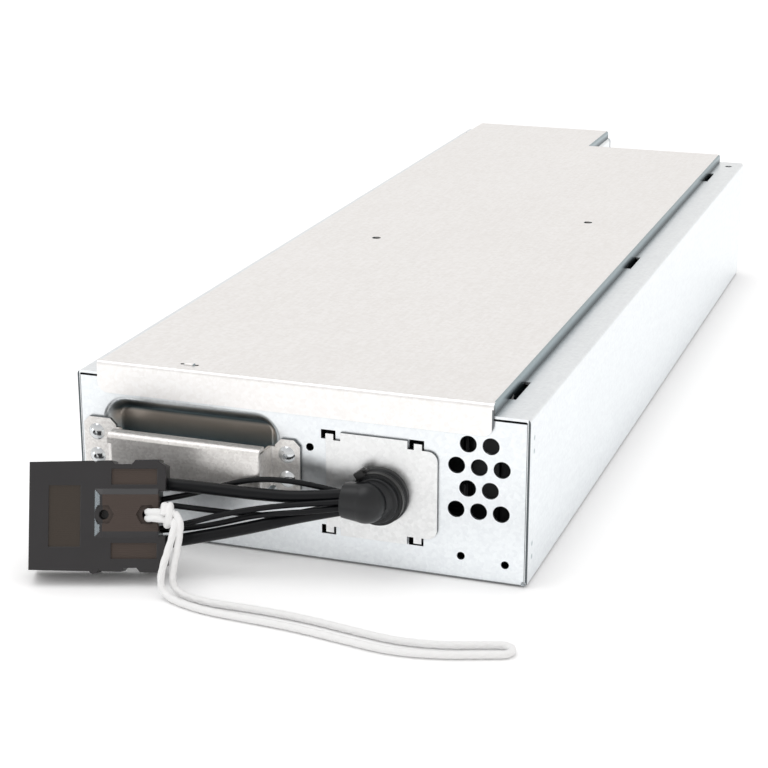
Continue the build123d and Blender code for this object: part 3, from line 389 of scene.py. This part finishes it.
# %% Join the knot
knot_parts = []
for name, points in {**strand_routes, "wrap": wrap_points}.items():
    line = spline_line(name + "_route", points, resolution=24)
    knot_parts.append(braided_tube(name, line, cord_diameter))
joined = bmesh.new()
for tube in knot_parts:
    joined.from_mesh(tube.data)
knot_mesh = bpy.data.meshes.new("hitch_knot")
joined.to_mesh(knot_mesh)
joined.free()
for tube in knot_parts:
    bpy.data.objects.remove(tube)
hitch_knot = add_object("hitch_knot", knot_mesh)
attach(hitch_knot, "root")
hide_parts("pull_cord_knot")
print("knot has", len(knot_mesh.polygons), "faces")

# %% [markdown]
# ## Colours and nodes
# Colours are picked as the sRGB hex values that a screen shows, but a shader works in linear
# light, so one function turns them. One more function adds a shader node, sets its values and
# links it up, which keeps each material short enough to read as a recipe. A noise has few
# values near nought or one, so its usual range is stretched when it drives something.

# %% Helpers for materials
def colour(hex_text):
    """An sRGB hex colour as linear red, green, blue and alpha."""
    values = [int(hex_text[i:i + 2], 16) / 255 for i in (1, 3, 5)]
    return (*[v / 12.92 if v <= 0.04045 else ((v + 0.055) / 1.055) ** 2.4 for v in values],
            1.0)


def add_node(tree, kind, inputs=None, **settings):
    """Add a shader node with its properties and its inputs, which may be other sockets."""
    made = tree.nodes.new("ShaderNode" + kind)
    for name, value in settings.items():
        setattr(made, name, value)
    for name, value in (inputs or {}).items():
        if isinstance(value, bpy.types.NodeSocket):
            tree.links.new(value, made.inputs[name])
        else:
            made.inputs[name].default_value = value
    return made


def new_material(name):
    """An empty node material and its node tree."""
    made = bpy.data.materials.new(name)
    made.use_nodes = True
    made.node_tree.nodes.clear()
    return made, made.node_tree


def place_on_object(tree):
    """The place on the object in metres, so that patterns keep their real size."""
    return add_node(tree, "TexCoord").outputs["Object"]


usual_range = {"From Min": 0.3, "From Max": 0.7}
print("white is", colour("#ffffff"))

# %% Masks and marks
def between(tree, value, limits, start=0.0):
    """One between two limits in millimetres, counted from a start, and nought elsewhere."""
    low, high = [start + limit * MM for limit in limits]
    return add_node(tree, "Math", {0: value, 1: (low + high) / 2, 2: (high - low) / 2},
                    operation="COMPARE").outputs["Value"]


def rising(tree, value, limits, start=0.0):
    """Nought to one from the first limit to the second, given as for between."""
    first, second = [start + limit * MM for limit in limits]
    return add_node(tree, "MapRange", {"Value": value, "From Min": first,
                                       "From Max": second}).outputs["Result"]


def product(tree, first, *others):
    """The product of several values."""
    for other in others:
        first = add_node(tree, "Math", {0: first, 1: other},
                         operation="MULTIPLY").outputs["Value"]
    return first


def facing(tree, axis):
    """How squarely the surface faces along X, Y or Z, from nought to one."""
    surface = add_node(tree, "NewGeometry")
    normal = add_node(tree, "SeparateXYZ", {"Vector": surface.outputs["True Normal"]})
    return add_node(tree, "Math", {0: normal.outputs[axis]},
                    operation="ABSOLUTE").outputs["Value"]


def lay_marks(tree, base, marks):
    """The base colour with marks laid over it, each a mask and its hex colour."""
    for where, tint in marks:
        base = add_node(tree, "Mix", {0: where, 6: base, 7: colour(tint)},
                        data_type="RGBA").outputs[2]
    return base


print("mask helpers ready")

# %% [markdown]
# ## Zinc-coated steel sheet
# The tray, lid, bracket and cable plate are mild steel sheet with a zinc coat, left unpainted.
# Zinc cools into small crystals, the spangle, and rolling leaves faint streaks along the sheet,
# so the colour shifts softly from crystal to crystal. The gloss stays nearly even, because a
# wider range showed as dark specks. It is a metal, so its colour is the colour of what it
# reflects, and seams and corners get a painted shade where little light gets in.

# %% Zinc patterns
streak_width = 1.4 * MM    # drawn broader than real ones, which would not show
streak_share = 0.6
cloud_width = 60 * MM


def zinc_tones(tree, place, streak, grain_mm):
    """Two patterns for zinc: crystals with rolled streaks, and slow clouds."""
    crystals = add_node(tree, "TexVoronoi", {"Vector": place, "Scale": 1 / (grain_mm * MM)},
                        feature="F1")
    crystal_tone = add_node(tree, "SeparateColor", {"Color": crystals.outputs["Color"]})
    along = add_node(tree, "Mapping", {"Vector": place, "Scale": streak})
    streaks = add_node(tree, "TexNoise", {"Vector": along.outputs["Vector"],
                                          "Scale": 1 / streak_width, "Detail": 4.0})
    clouds = add_node(tree, "TexNoise", {"Vector": place, "Scale": 1 / cloud_width,
                                         "Detail": 2.0})
    grain = add_node(tree, "Mix", {0: streak_share, 2: crystal_tone.outputs["Red"],
                                   3: streaks.outputs["Fac"]}, data_type="FLOAT")
    return grain.outputs[0], clouds.outputs["Fac"]


def painted_crevice_shade(tree, base, reach_mm=2.2):
    """Painted shade: the colour, darker in the seams and corners where sheets meet."""
    near = add_node(tree, "AmbientOcclusion", {"Distance": reach_mm * MM}, samples=6)
    shade = add_node(tree, "MapRange", {"Value": near.outputs["AO"], "From Min": 0.1,
                                        "From Max": 0.75, "To Min": 0.3})
    return add_node(tree, "Mix", {0: 1.0, 6: base, 7: shade.outputs["Result"]},
                    data_type="RGBA", blend_type="MULTIPLY").outputs[2]


print("streaks are", streak_width / MM, "mm wide")

# %% Zinc sheet
rolled_width = 5 * MM
rolled_relief = 0.04 * MM
gloss_below, gloss_above = 0.01, 0.03


def zinc_sheet(name, light, dark, roughness, marks, streak=(1.0, 0.08, 1.0), grain_mm=1.6,
               clouding=0.2, metal=1.0):
    """Zinc-coated sheet: crystals, streaks along the rolling direction and an even gloss."""
    made, tree = new_material(name)
    place = place_on_object(tree)
    grain, clouds = zinc_tones(tree, place, streak, grain_mm)
    tone = add_node(tree, "Mix", {0: clouding, 2: grain, 3: clouds}, data_type="FLOAT")
    shade = add_node(tree, "MapRange", {"Value": tone.outputs[0], **usual_range})
    base = add_node(tree, "Mix", {0: shade.outputs["Result"], 6: colour(dark),
                                  7: colour(light)}, data_type="RGBA").outputs[2]
    # Painted shade and shadow: the marks, apart from the weld marks, and the darker seams and
    # corners.
    base = painted_crevice_shade(tree, lay_marks(tree, base, marks(tree, place)))
    gloss = add_node(tree, "MapRange", {"Value": grain, **usual_range,
                                        "To Min": roughness - gloss_below,
                                        "To Max": roughness + gloss_above})
    rolled = add_node(tree, "TexNoise", {"Vector": place, "Scale": 1 / rolled_width,
                                         "Detail": 0.0})
    bump = add_node(tree, "Bump", {"Height": rolled.outputs["Fac"], "Strength": 0.3,
                                   "Distance": rolled_relief})
    shader = add_node(tree, "BsdfPrincipled", {"Base Color": base, "Metallic": metal,
                                               "Roughness": gloss.outputs["Result"],
                                               "Normal": bump.outputs["Normal"]})
    add_node(tree, "OutputMaterial", {"Surface": shader.outputs["BSDF"]})
    return made


print("zinc recipe ready")

# %% [markdown]
# ### Cut edges and the lid's folded side
# A dark painted shade stands for the dark outline along the sheet's edges at the front, where
# its thickness shows. The lid's sides are folded down and stand in a narrow gap, so they get a
# painted shade, with a darker painted shadow in the seam at their foot. A mask from the place
# and the facing draws both, and follows the solids.

# %% Cut edges
# Painted shade for the edges, and painted shadow in the gap at the lid flange's end.
painted_edge_shade = "#6d7174"
edge_y = (-1.45, 1.0)
edge_z = (0.0, 77.5)


def edge_shade_marks(tree, place):
    """Painted shade: a dark outline on the front edges where the sheet was cut."""
    axes = add_node(tree, "SeparateXYZ", {"Vector": place}).outputs
    edge = add_node(tree, "Math", {0: facing(tree, "Y"), 1: 0.5}, operation="LESS_THAN")
    return [(product(tree, edge.outputs["Value"], between(tree, axes["Y"], edge_y, front_y),
                     between(tree, axes["Z"], edge_z)), painted_edge_shade)]


print("cut edges reach", edge_z[1], "mm up")

# %% The lid's side and seam
seam_z = (79.5, 77.0)
flange_end_x = (88.6, 89.6)
flange_end_y = (-2.0, 0.1)
flange_end_z = (0.0, 79.0)


def lid_marks(tree, place):
    """Painted shade on the lid's side and edges, and painted shadow in its seam and flange gap.
    """
    axes = add_node(tree, "SeparateXYZ", {"Vector": place}).outputs
    side = add_node(tree, "Math", {0: facing(tree, "X"), 1: 0.6},
                    operation="GREATER_THAN").outputs["Value"]
    seam = product(tree, side, rising(tree, axes["Z"], seam_z))
    flange_end = product(tree, between(tree, axes["X"], flange_end_x),
                         between(tree, axes["Y"], flange_end_y, front_y),
                         between(tree, axes["Z"], flange_end_z))
    # Painted shade on the folded side, and painted shadow in the seam and at the flange's end.
    return [(side, "#a3b1b6"), (seam, "#59656a"),
            (flange_end, painted_edge_shade)] + edge_shade_marks(tree, place)


print("seam is", seam_z[0] - seam_z[1], "mm tall")

# %% [markdown]
# ### The drawn pocket and the welds
# A press drew the finger pocket into the front panel. Little light gets into it, so its shade
# is
# painted: a cool grey low down, a paler and warmer painted reflection of the bracket above, and
# the darkest painted shade on its upper wall. Spot welds hold the right side near the front
# corner and leave small grey rounds. Both come from masks of the place, as the edges do.

# %% Masks for the welds
tray_half_width = 105.0
weld_radius = 1.4
weld_spots = [from_front(tray_half_width, 7.0, z) for z in (12.0, 18.0, 60.0, 66.0)]


def near_spots(tree, place, spots, radius):
    """One inside a small circle round any of the spots."""
    found = 0.0
    for spot in spots:
        away = add_node(tree, "VectorMath", {0: place, 1: spot}, operation="DISTANCE")
        inside = add_node(tree, "MapRange", {"Value": away.outputs["Value"],
                                             "From Min": radius, "From Max": radius * 0.6})
        found = add_node(tree, "Math", {0: inside.outputs["Result"], 1: found},
                         operation="MAXIMUM").outputs["Value"]
    return found


print("tray has", len(weld_spots), "weld marks")

# %% The pocket's marks
pocket_x = (-94.0, -6.0)
pocket_y = (0.0, 9.5)
pocket_shade_y = (0.8, 4.5)
pocket_upper_z = (48.0, 54.5)
pocket_wall_z = (57.0, 58.5)


def pocket_marks(tree, axes):
    """Painted shade on the pocket's floor and wall, and a painted reflection on its upper part.
    """
    pocket = product(tree, rising(tree, axes["Y"], pocket_shade_y, front_y),
                     between(tree, axes["X"], pocket_x),
                     between(tree, axes["Y"], pocket_y, front_y))
    return [(pocket, "#7f8c90"),
            (product(tree, pocket, rising(tree, axes["Z"], pocket_upper_z)), "#c0b6ac"),
            (product(tree, pocket, rising(tree, axes["Z"], pocket_wall_z)), "#5c696d")]


print("pocket is", pocket_x[1] - pocket_x[0], "mm wide")

# %% The tray's marks
front_skin_y = (-0.2, 0.5)
corner_edge_x = (tray_half_width - 0.9, tray_half_width + 0.2)
foot_edge_z = (-0.2, 0.9)


def tray_marks(tree, place):
    """The pocket, painted shade at the front corners, a painted shadow at the foot, and weld
    marks.
    """
    axes = add_node(tree, "SeparateXYZ", {"Vector": place}).outputs
    front = between(tree, axes["Y"], front_skin_y, front_y)
    sideways = add_node(tree, "Math", {0: axes["X"]}, operation="ABSOLUTE")
    edge = product(tree, front, between(tree, sideways.outputs["Value"], corner_edge_x))
    foot = product(tree, front, between(tree, axes["Z"], foot_edge_z))
    # Painted shade on the corner edges and painted shadow along the foot; the welds are real
    # marks.
    return pocket_marks(tree, axes) + [
        (edge, "#5d6265"), (foot, "#767c7f"),
        (near_spots(tree, place, weld_spots, weld_radius * MM), "#b9c4c8")]


print("bare edges are", round(corner_edge_x[1] - corner_edge_x[0], 1), "mm wide")

# %% Four zinc finishes
# A cool, pale sheen, the sharpest of the four.
zinc_tray = zinc_sheet("zinc coated steel, tray", "#f4f8fa", "#eaeef1", 0.32, tray_marks)
# A warmer and softer sheen over the large flat top.
zinc_lid = zinc_sheet("zinc coated steel, lid", "#fcfbfa", "#f3f1ef", 0.36, lid_marks)
# A finer grain with streaks along the bracket, less like a mirror than the sheet.
zinc_strip = zinc_sheet("zinc coated steel strip, handle", "#f6f4f1", "#e2dfdc", 0.36,
                        edge_shade_marks, streak=(0.05, 1.0, 1.0), grain_mm=1.0, clouding=0.05,
                        metal=0.75)
# A neutral sheen, a little duller than the tray round it, so the plate stands out.
zinc_plate = zinc_sheet("zinc coated steel, cable plate", "#f4f5f5", "#e6e7e7", 0.34,
                        edge_shade_marks)
print("zinc sheets:", zinc_tray.name, zinc_lid.name, zinc_strip.name, zinc_plate.name)

# %% [markdown]
# ## Moulded plastic and rubber
# The boot, the leads' jackets and the gland are moulded or extruded, so their colour flows and
# shifts slowly, and their surface copies the fine grain of the tool. A small rounded edge from
# the Bevel node catches the light, because no moulding has a sharp edge. The grain is drawn a
# little coarser than a real mould's, so that it still breaks up the highlights.

# %% Plastics and rubber
flow_width = 14 * MM
mould_edge = 0.4 * MM
mould_relief = 0.1 * MM


def moulded(name, base, shade, roughness, grain_mm, grain_depth=0.3, specular=0.5, sheen=0.0):
    """Moulded plastic or rubber with a fine grain and slightly uneven colour."""
    made, tree = new_material(name)
    place = place_on_object(tree)
    grain = add_node(tree, "TexNoise", {"Vector": place, "Scale": 1 / (grain_mm * MM),
                                        "Detail": 3.0})
    flow = add_node(tree, "TexNoise", {"Vector": place, "Scale": 1 / flow_width,
                                       "Detail": 2.0})
    base_mix = add_node(tree, "Mix", {0: flow.outputs["Fac"], 6: colour(shade),
                                      7: colour(base)}, data_type="RGBA")
    gloss = add_node(tree, "MapRange", {"Value": flow.outputs["Fac"], **usual_range,
                                        "To Min": roughness - 0.04,
                                        "To Max": roughness + 0.05})
    edge = add_node(tree, "Bevel", {"Radius": mould_edge}, samples=4)
    bump = add_node(tree, "Bump", {"Height": grain.outputs["Fac"], "Strength": grain_depth,
                                   "Distance": mould_relief,
                                   "Normal": edge.outputs["Normal"]})
    shader = add_node(tree, "BsdfPrincipled", {"Base Color": base_mix.outputs[2],
                                               "Roughness": gloss.outputs["Result"],
                                               "Specular IOR Level": specular,
                                               "Sheen Weight": sheen,
                                               "Normal": bump.outputs["Normal"]})
    add_node(tree, "OutputMaterial", {"Surface": shader.outputs["BSDF"]})
    return made


print("moulded recipe ready")

# %% Plastic and rubber finishes
# Deep black with a broad, soft highlight on the elbow.
rubber_boot = moulded("moulded rubber, boot", "#131518", "#0e1012", 0.34, 0.5, 0.15, 0.45)
# The darkest finish, with one thin highlight along each lead.
jacket = moulded("soft lead jacket", "#090b0f", "#06070a", 0.36, 0.8, 0.1, 0.22)
# Black with small highlights on the gland's rings.
nylon_gland = moulded("nylon, gland", "#131517", "#0e1012", 0.35, 0.4, 0.3, 0.4)
# A glossier black line round the boot.
nylon_tie = moulded("nylon, cable tie", "#111111", "#0a0a0a", 0.3, 0.5, 0.3, 0.4)
# Dark grey masses behind the vents.
battery_case = moulded("moulded case, sealed block", "#17191c", "#121416", 0.45, 0.5)
# Dull grey with a coarse grain, only inside.
foam = moulded("closed cell foam", "#3a3a3c", "#2c2c2e", 0.85, 0.6, 0.6)
# Dark and even, only inside.
film = moulded("insulating film", "#2a2a2a", "#242424", 0.4, 0.6)
# Warm off-white, only inside.
fuse_tube = moulded("ceramic fuse tube", "#cfcabb", "#c2bdae", 0.5, 0.5)
print("plastics ready")

# %% [markdown]
# ### The plug's nylon
# The plug is glass-filled nylon. Its face is smooth, and its label recess, pads and raised
# block are browner and matter, with fine ridges across them. The block's left slope is polished
# and mirrors the pale lamp beside it. All of these are flat areas of one moulding, so masks in
# the plug's own frame place them to the millimetre.

# %% The plug's areas
# Each area: how far it goes along the plug, how far up it, and its colour.
plug_patches = {"label recess": ((8.4, 22.0), (11.0, 37.3), "#33291f"),
                "upper pad": ((35.2, 54.8), (37.6, 44.4), "#40332b"),
                "lower pad": ((35.2, 54.8), (5.9, 12.7), "#40332b"),
                "raised block": ((31.6, 58.0), (17.6, 33.4), "#40332c")}
plug_slope = ((28.2, 31.5), (15.4, 35.9))
face_out = (-2.4, 2.4)    # how far behind or before the face an area may lie


def plug_axes(tree, place):
    """How far along, up and out of the plug's face a place is, in metres."""
    local = add_node(tree, "VectorMath", {0: place, 1: plug_corner}, operation="SUBTRACT")
    return [add_node(tree, "VectorMath", {0: local.outputs["Vector"], 1: axis},
                     operation="DOT_PRODUCT").outputs["Value"]
            for axis in (plug_along, plug_up, plug_out)]


def plug_area(tree, axes, along, up):
    """One on an area of the plug's face, and nought elsewhere."""
    u, v, out = axes
    return product(tree, between(tree, out, face_out), between(tree, u, along),
                   between(tree, v, up))


print("plug has", len(plug_patches), "brown areas")

# %% The plug's colour and relief
ridge_pitch = 0.9 * MM
plug_grain = 0.35 * MM


def plug_tones(tree, place, axes):
    """The nylon's colour with its brown areas, and one where an area is ridged."""
    flow = add_node(tree, "TexNoise", {"Vector": place, "Scale": 1 / flow_width,
                                       "Detail": 2.0})
    base = add_node(tree, "Mix", {0: flow.outputs["Fac"], 6: colour("#1f1d1f"),
                                  7: colour("#282628")}, data_type="RGBA").outputs[2]
    ridged = 0.0
    for along, up, tint in plug_patches.values():
        where = plug_area(tree, axes, along, up)
        base = lay_marks(tree, base, [(where, tint)])
        ridged = add_node(tree, "Math", {0: where, 1: ridged},
                          operation="MAXIMUM").outputs["Value"]
    return base, ridged


def plug_height(tree, place, axes, ridged):
    """The grain of the whole face, with ridges added on the brown areas."""
    grain = add_node(tree, "TexNoise", {"Vector": place, "Scale": 1 / plug_grain,
                                        "Detail": 3.0})
    turns = add_node(tree, "Math", {0: axes[1], 1: 2 * math.pi / ridge_pitch},
                     operation="MULTIPLY")
    ridges = add_node(tree, "Math", {0: turns.outputs["Value"]}, operation="SINE")
    return add_node(tree, "Math", {0: product(tree, ridged, ridges.outputs["Value"]),
                                   1: grain.outputs["Fac"]},
                    operation="ADD").outputs["Value"]


print("ridges are", ridge_pitch / MM, "mm apart")

# %% Plug nylon
plug_relief = 0.08 * MM
plug_edge = 0.7 * MM
face_gloss, slope_gloss, ridged_gloss = 0.33, 0.14, 0.5


def plug_material(name):
    """Dark nylon with browner ridged areas and one polished slope."""
    made, tree = new_material(name)
    place = place_on_object(tree)
    axes = plug_axes(tree, place)
    base, ridged = plug_tones(tree, place, axes)
    height = plug_height(tree, place, axes, ridged)
    polish = add_node(tree, "MapRange", {"Value": plug_area(tree, axes, *plug_slope),
                                         "To Min": face_gloss, "To Max": slope_gloss})
    gloss = add_node(tree, "Mix", {0: ridged, 2: polish.outputs["Result"], 3: ridged_gloss},
                     data_type="FLOAT")
    edge = add_node(tree, "Bevel", {"Radius": plug_edge}, samples=6)
    bump = add_node(tree, "Bump", {"Height": height, "Strength": 0.25,
                                   "Distance": plug_relief,
                                   "Normal": edge.outputs["Normal"]})
    shader = add_node(tree, "BsdfPrincipled", {"Base Color": base,
                                               "Roughness": gloss.outputs[0],
                                               "Specular IOR Level": 0.5,
                                               "Normal": bump.outputs["Normal"]})
    add_node(tree, "OutputMaterial", {"Surface": shader.outputs["BSDF"]})
    return made


# Charcoal with brown areas and a thin pale line on the slope.
nylon_plug = plug_material("glass filled nylon, plug")
print("made", nylon_plug.name)

# %% [markdown]
# ### Bright metal
# Rivets and contacts are plated and then tumbled, so they are bright, with fine marks that
# break their highlights up. They are fully metallic and have little colour of their own. Their
# crevices get a painted shade over a shorter reach than the sheet's, because the parts are
# small.

# %% Bright metal parts
tumbling_width = 0.7 * MM
tumbling_relief = 0.1 * MM
small_reach_mm = 1.6


def bright_metal(name, base, roughness):
    """Plated metal with fine tumbling marks that vary its gloss."""
    made, tree = new_material(name)
    place = place_on_object(tree)
    marks = add_node(tree, "TexNoise", {"Vector": place, "Scale": 1 / tumbling_width,
                                        "Detail": 3.0})
    gloss = add_node(tree, "MapRange", {"Value": marks.outputs["Fac"], **usual_range,
                                        "To Min": roughness - 0.05,
                                        "To Max": roughness + 0.08})
    bump = add_node(tree, "Bump", {"Height": marks.outputs["Fac"], "Strength": 0.12,
                                   "Distance": tumbling_relief})
    # Painted shade in the small crevices.
    tone = painted_crevice_shade(tree, colour(base), small_reach_mm)
    shader = add_node(tree, "BsdfPrincipled", {"Base Color": tone, "Metallic": 1.0,
                                               "Roughness": gloss.outputs["Result"],
                                               "Normal": bump.outputs["Normal"]})
    add_node(tree, "OutputMaterial", {"Surface": shader.outputs["BSDF"]})
    return made


# Small bright highlights on the handle's ears.
rivet_zinc = bright_metal("zinc plated rivet", "#d3d6d8", 0.16)
# A warm white glint in the plug's sockets.
silver_plate = bright_metal("silver plated contact", "#f2efe8", 0.18)
print("bright metals ready")

# %% [markdown]
# ### White braid
# The cord is polyester thread. Each thread scatters light, so the braid is matt, with a faint
# sheen at its edges. The plaits are geometry already, and the finish adds only the threads in
# them, as a fine bump.

# %% Braided cord
thread_width = 0.35 * MM
thread_relief = 0.15 * MM


def braid(name):
    """White polyester braid: matt, with the threads of each plait as a fine bump."""
    made, tree = new_material(name)
    place = place_on_object(tree)
    threads = add_node(tree, "TexNoise", {"Vector": place, "Scale": 1 / thread_width,
                                          "Detail": 3.0})
    base = add_node(tree, "Mix", {0: threads.outputs["Fac"], 6: colour("#f4f4f3"),
                                  7: colour("#ffffff")}, data_type="RGBA")
    bump = add_node(tree, "Bump", {"Height": threads.outputs["Fac"], "Strength": 0.4,
                                   "Distance": thread_relief})
    shader = add_node(tree, "BsdfPrincipled", {"Base Color": base.outputs[2],
                                               "Roughness": 0.8, "Sheen Weight": 0.3,
                                               "Normal": bump.outputs["Normal"]})
    add_node(tree, "OutputMaterial", {"Surface": shader.outputs["BSDF"]})
    return made


# Matt white, the softest of the finishes.
white_braid = braid("polyester braid, white")
print("braid ready")

# %% [markdown]
# ## Dressing the pieces
# Each CAD node gets the finish of the part that it is, and the ten sealed blocks share one. The
# leads made here are dressed as jackets, and the cord and its knot as white braid.

# %% Dress the pieces
finishes = {
    "tray": zinc_tray, "lid": zinc_lid, "handle_bracket": zinc_strip,
    "handle_rivets": rivet_zinc, "cable_plate": zinc_plate, "gland_collar": nylon_gland,
    "gland_nut": nylon_gland, "cable_boot": rubber_boot, "boot_tie": nylon_tie,
    "plug_housing": nylon_plug, "plug_contacts": silver_plate, "pull_cord_knot": white_braid,
    "series_links": jacket, "liner_sheet": film, "top_pads": foam, "side_pad_left": foam,
    "side_pad_right": foam, "middle_pad": foam, "rear_pad": foam, "fuse_base": nylon_gland,
    "fuse": fuse_tube, "fuse_screws": rivet_zinc, "fuse_leads": jacket,
    "inner_lead_positive": jacket, "inner_lead_negative": jacket, "inner_sense_leads": jacket,
    "temperature_sensor": nylon_gland,
}


def dress(piece, finish):
    """Give one piece one finish."""
    piece.data.materials.clear()
    piece.data.materials.append(finish)


for name, piece in nodes.items():
    dress(piece, finishes.get(name, battery_case))
for lead in leads:
    dress(lead, jacket)
for piece in (pull_cord, hitch_knot):
    dress(piece, white_braid)
print("dressed", len(nodes), "nodes")

# %% [markdown]
# ## Stage and light
# The product stands on a white sweep of paper, as in a catalogue. The paper is a plain diffuse
# surface that takes the shadow. For the camera and for reflections it also glows a little, less
# near what stands on it, so that it reaches white without brighter lamps; the missing glow
# there is a painted contact shadow.

# %% Floor
half_floor = 6.0
floor_z = -0.0003
contact_reach = 0.02
glow_strength = 0.3
floor_mesh = bpy.data.meshes.new("floor")
corners = ((-1, -1), (1, -1), (1, 1), (-1, 1))
floor_mesh.from_pydata([(x * half_floor, y * half_floor, floor_z) for x, y in corners],
                       [], [(0, 1, 2, 3)])
floor = add_object("floor", floor_mesh)
paper, tree = new_material("white paper sweep")
diffuse = add_node(tree, "BsdfDiffuse", {"Color": colour("#f4f4f4")})
# The glow fades near what stands on the floor, a painted contact shadow.
open_air = add_node(tree, "AmbientOcclusion", {"Distance": contact_reach}, samples=8)
glow = add_node(tree, "Emission", {"Color": open_air.outputs["Color"],
                                   "Strength": glow_strength})
both = add_node(tree, "AddShader", {0: diffuse.outputs["BSDF"], 1: glow.outputs["Emission"]})
ray = add_node(tree, "LightPath")
seen = add_node(tree, "Math", {0: ray.outputs["Is Camera Ray"],
                               1: ray.outputs["Is Glossy Ray"]}, operation="MAXIMUM")
sweep = add_node(tree, "MixShader", {0: seen.outputs["Value"], 1: diffuse.outputs["BSDF"],
                                     2: both.outputs["Shader"]})
add_node(tree, "OutputMaterial", {"Surface": sweep.outputs["Shader"]})
floor.data.materials.append(paper)
print("floor is", 2 * half_floor, "m wide")

# %% [markdown]
# ### Surroundings
# Unpainted metal shows what is around it, so the surroundings matter as much as the lamps.
# They are white at the horizon and a warm off-white above it, with one lighter band, which is
# what the lid picks up, and they fall to a neutral grey overhead. The camera itself sees plain
# white.

# %% Surroundings
# Height of a direction, from the horizon at nought to straight up at one, and its tone.
sky_tones = ((0.1, "#f3f0ed"), (0.22, "#f3f0ed"), (0.33, "#fbfaf9"), (0.45, "#f0eeed"))
horizon_tone = "#ffffff"
zenith_tone = "#d9d9da"
world = bpy.data.worlds.new("studio")
bpy.context.scene.world = world
world.use_nodes = True
tree = world.node_tree
tree.nodes.clear()
sky = add_node(tree, "TexCoord")
direction = add_node(tree, "SeparateXYZ", {"Vector": sky.outputs["Generated"]})
surround = add_node(tree, "ValToRGB", {"Fac": direction.outputs["Z"]})
ramp = surround.color_ramp
ramp.elements[0].position = 0.0
ramp.elements[0].color = colour(horizon_tone)
ramp.elements[1].position = 1.0
ramp.elements[1].color = colour(zenith_tone)
for height, tone in sky_tones:
    ramp.elements.new(height).color = colour(tone)
around = add_node(tree, "Background", {"Color": surround.outputs["Color"], "Strength": 1.0})
white = add_node(tree, "Background", {"Color": colour("#ffffff"), "Strength": 1.0})
ray = add_node(tree, "LightPath")
studio = add_node(tree, "MixShader", {0: ray.outputs["Is Camera Ray"],
                                      1: around.outputs["Background"],
                                      2: white.outputs["Background"]})
add_node(tree, "OutputWorld", {"Surface": studio.outputs["Shader"]})
print("surroundings have", len(ramp.elements), "tones")

# %% [markdown]
# ### Lamps
# A large softbox overhead gives the lid its even light and the soft shadow under the tray. A
# small, low and slightly blue one on the left puts the cool edge on the plug's polished slope.
# It stays weak, because zinc reflects it at a grazing angle and would clip to white.

# %% Lamps
def softbox(name, place, aim, size, power, tint=(1.0, 1.0, 1.0)):
    """A square lamp that faces a point."""
    data = bpy.data.lights.new(name, "AREA")
    data.shape = "SQUARE"
    data.size = size
    data.energy = power
    data.color = tint
    made = add_object(name, data)
    made.location = place
    made.rotation_euler = (Vector(aim) - Vector(place)).to_track_quat("-Z", "Y").to_euler()
    return made


top_lamp = softbox("top softbox", place=(-0.6, -0.4, 2.2), aim=(0, 0, 0), size=1.6, power=10)
left_lamp = softbox("left softbox", place=(-2.1, -1.6, 0.27), aim=(-0.07, -0.35, 0.03),
                    size=0.36, power=2.9, tint=(0.8, 0.93, 1.0))
print("lamps:", top_lamp.name, "and", left_lamp.name)

# %% [markdown]
# ## Finish
# The view transform is set to Standard, so a colour renders as it is written.

# %% Finish
bpy.context.scene.view_settings.view_transform = "Standard"
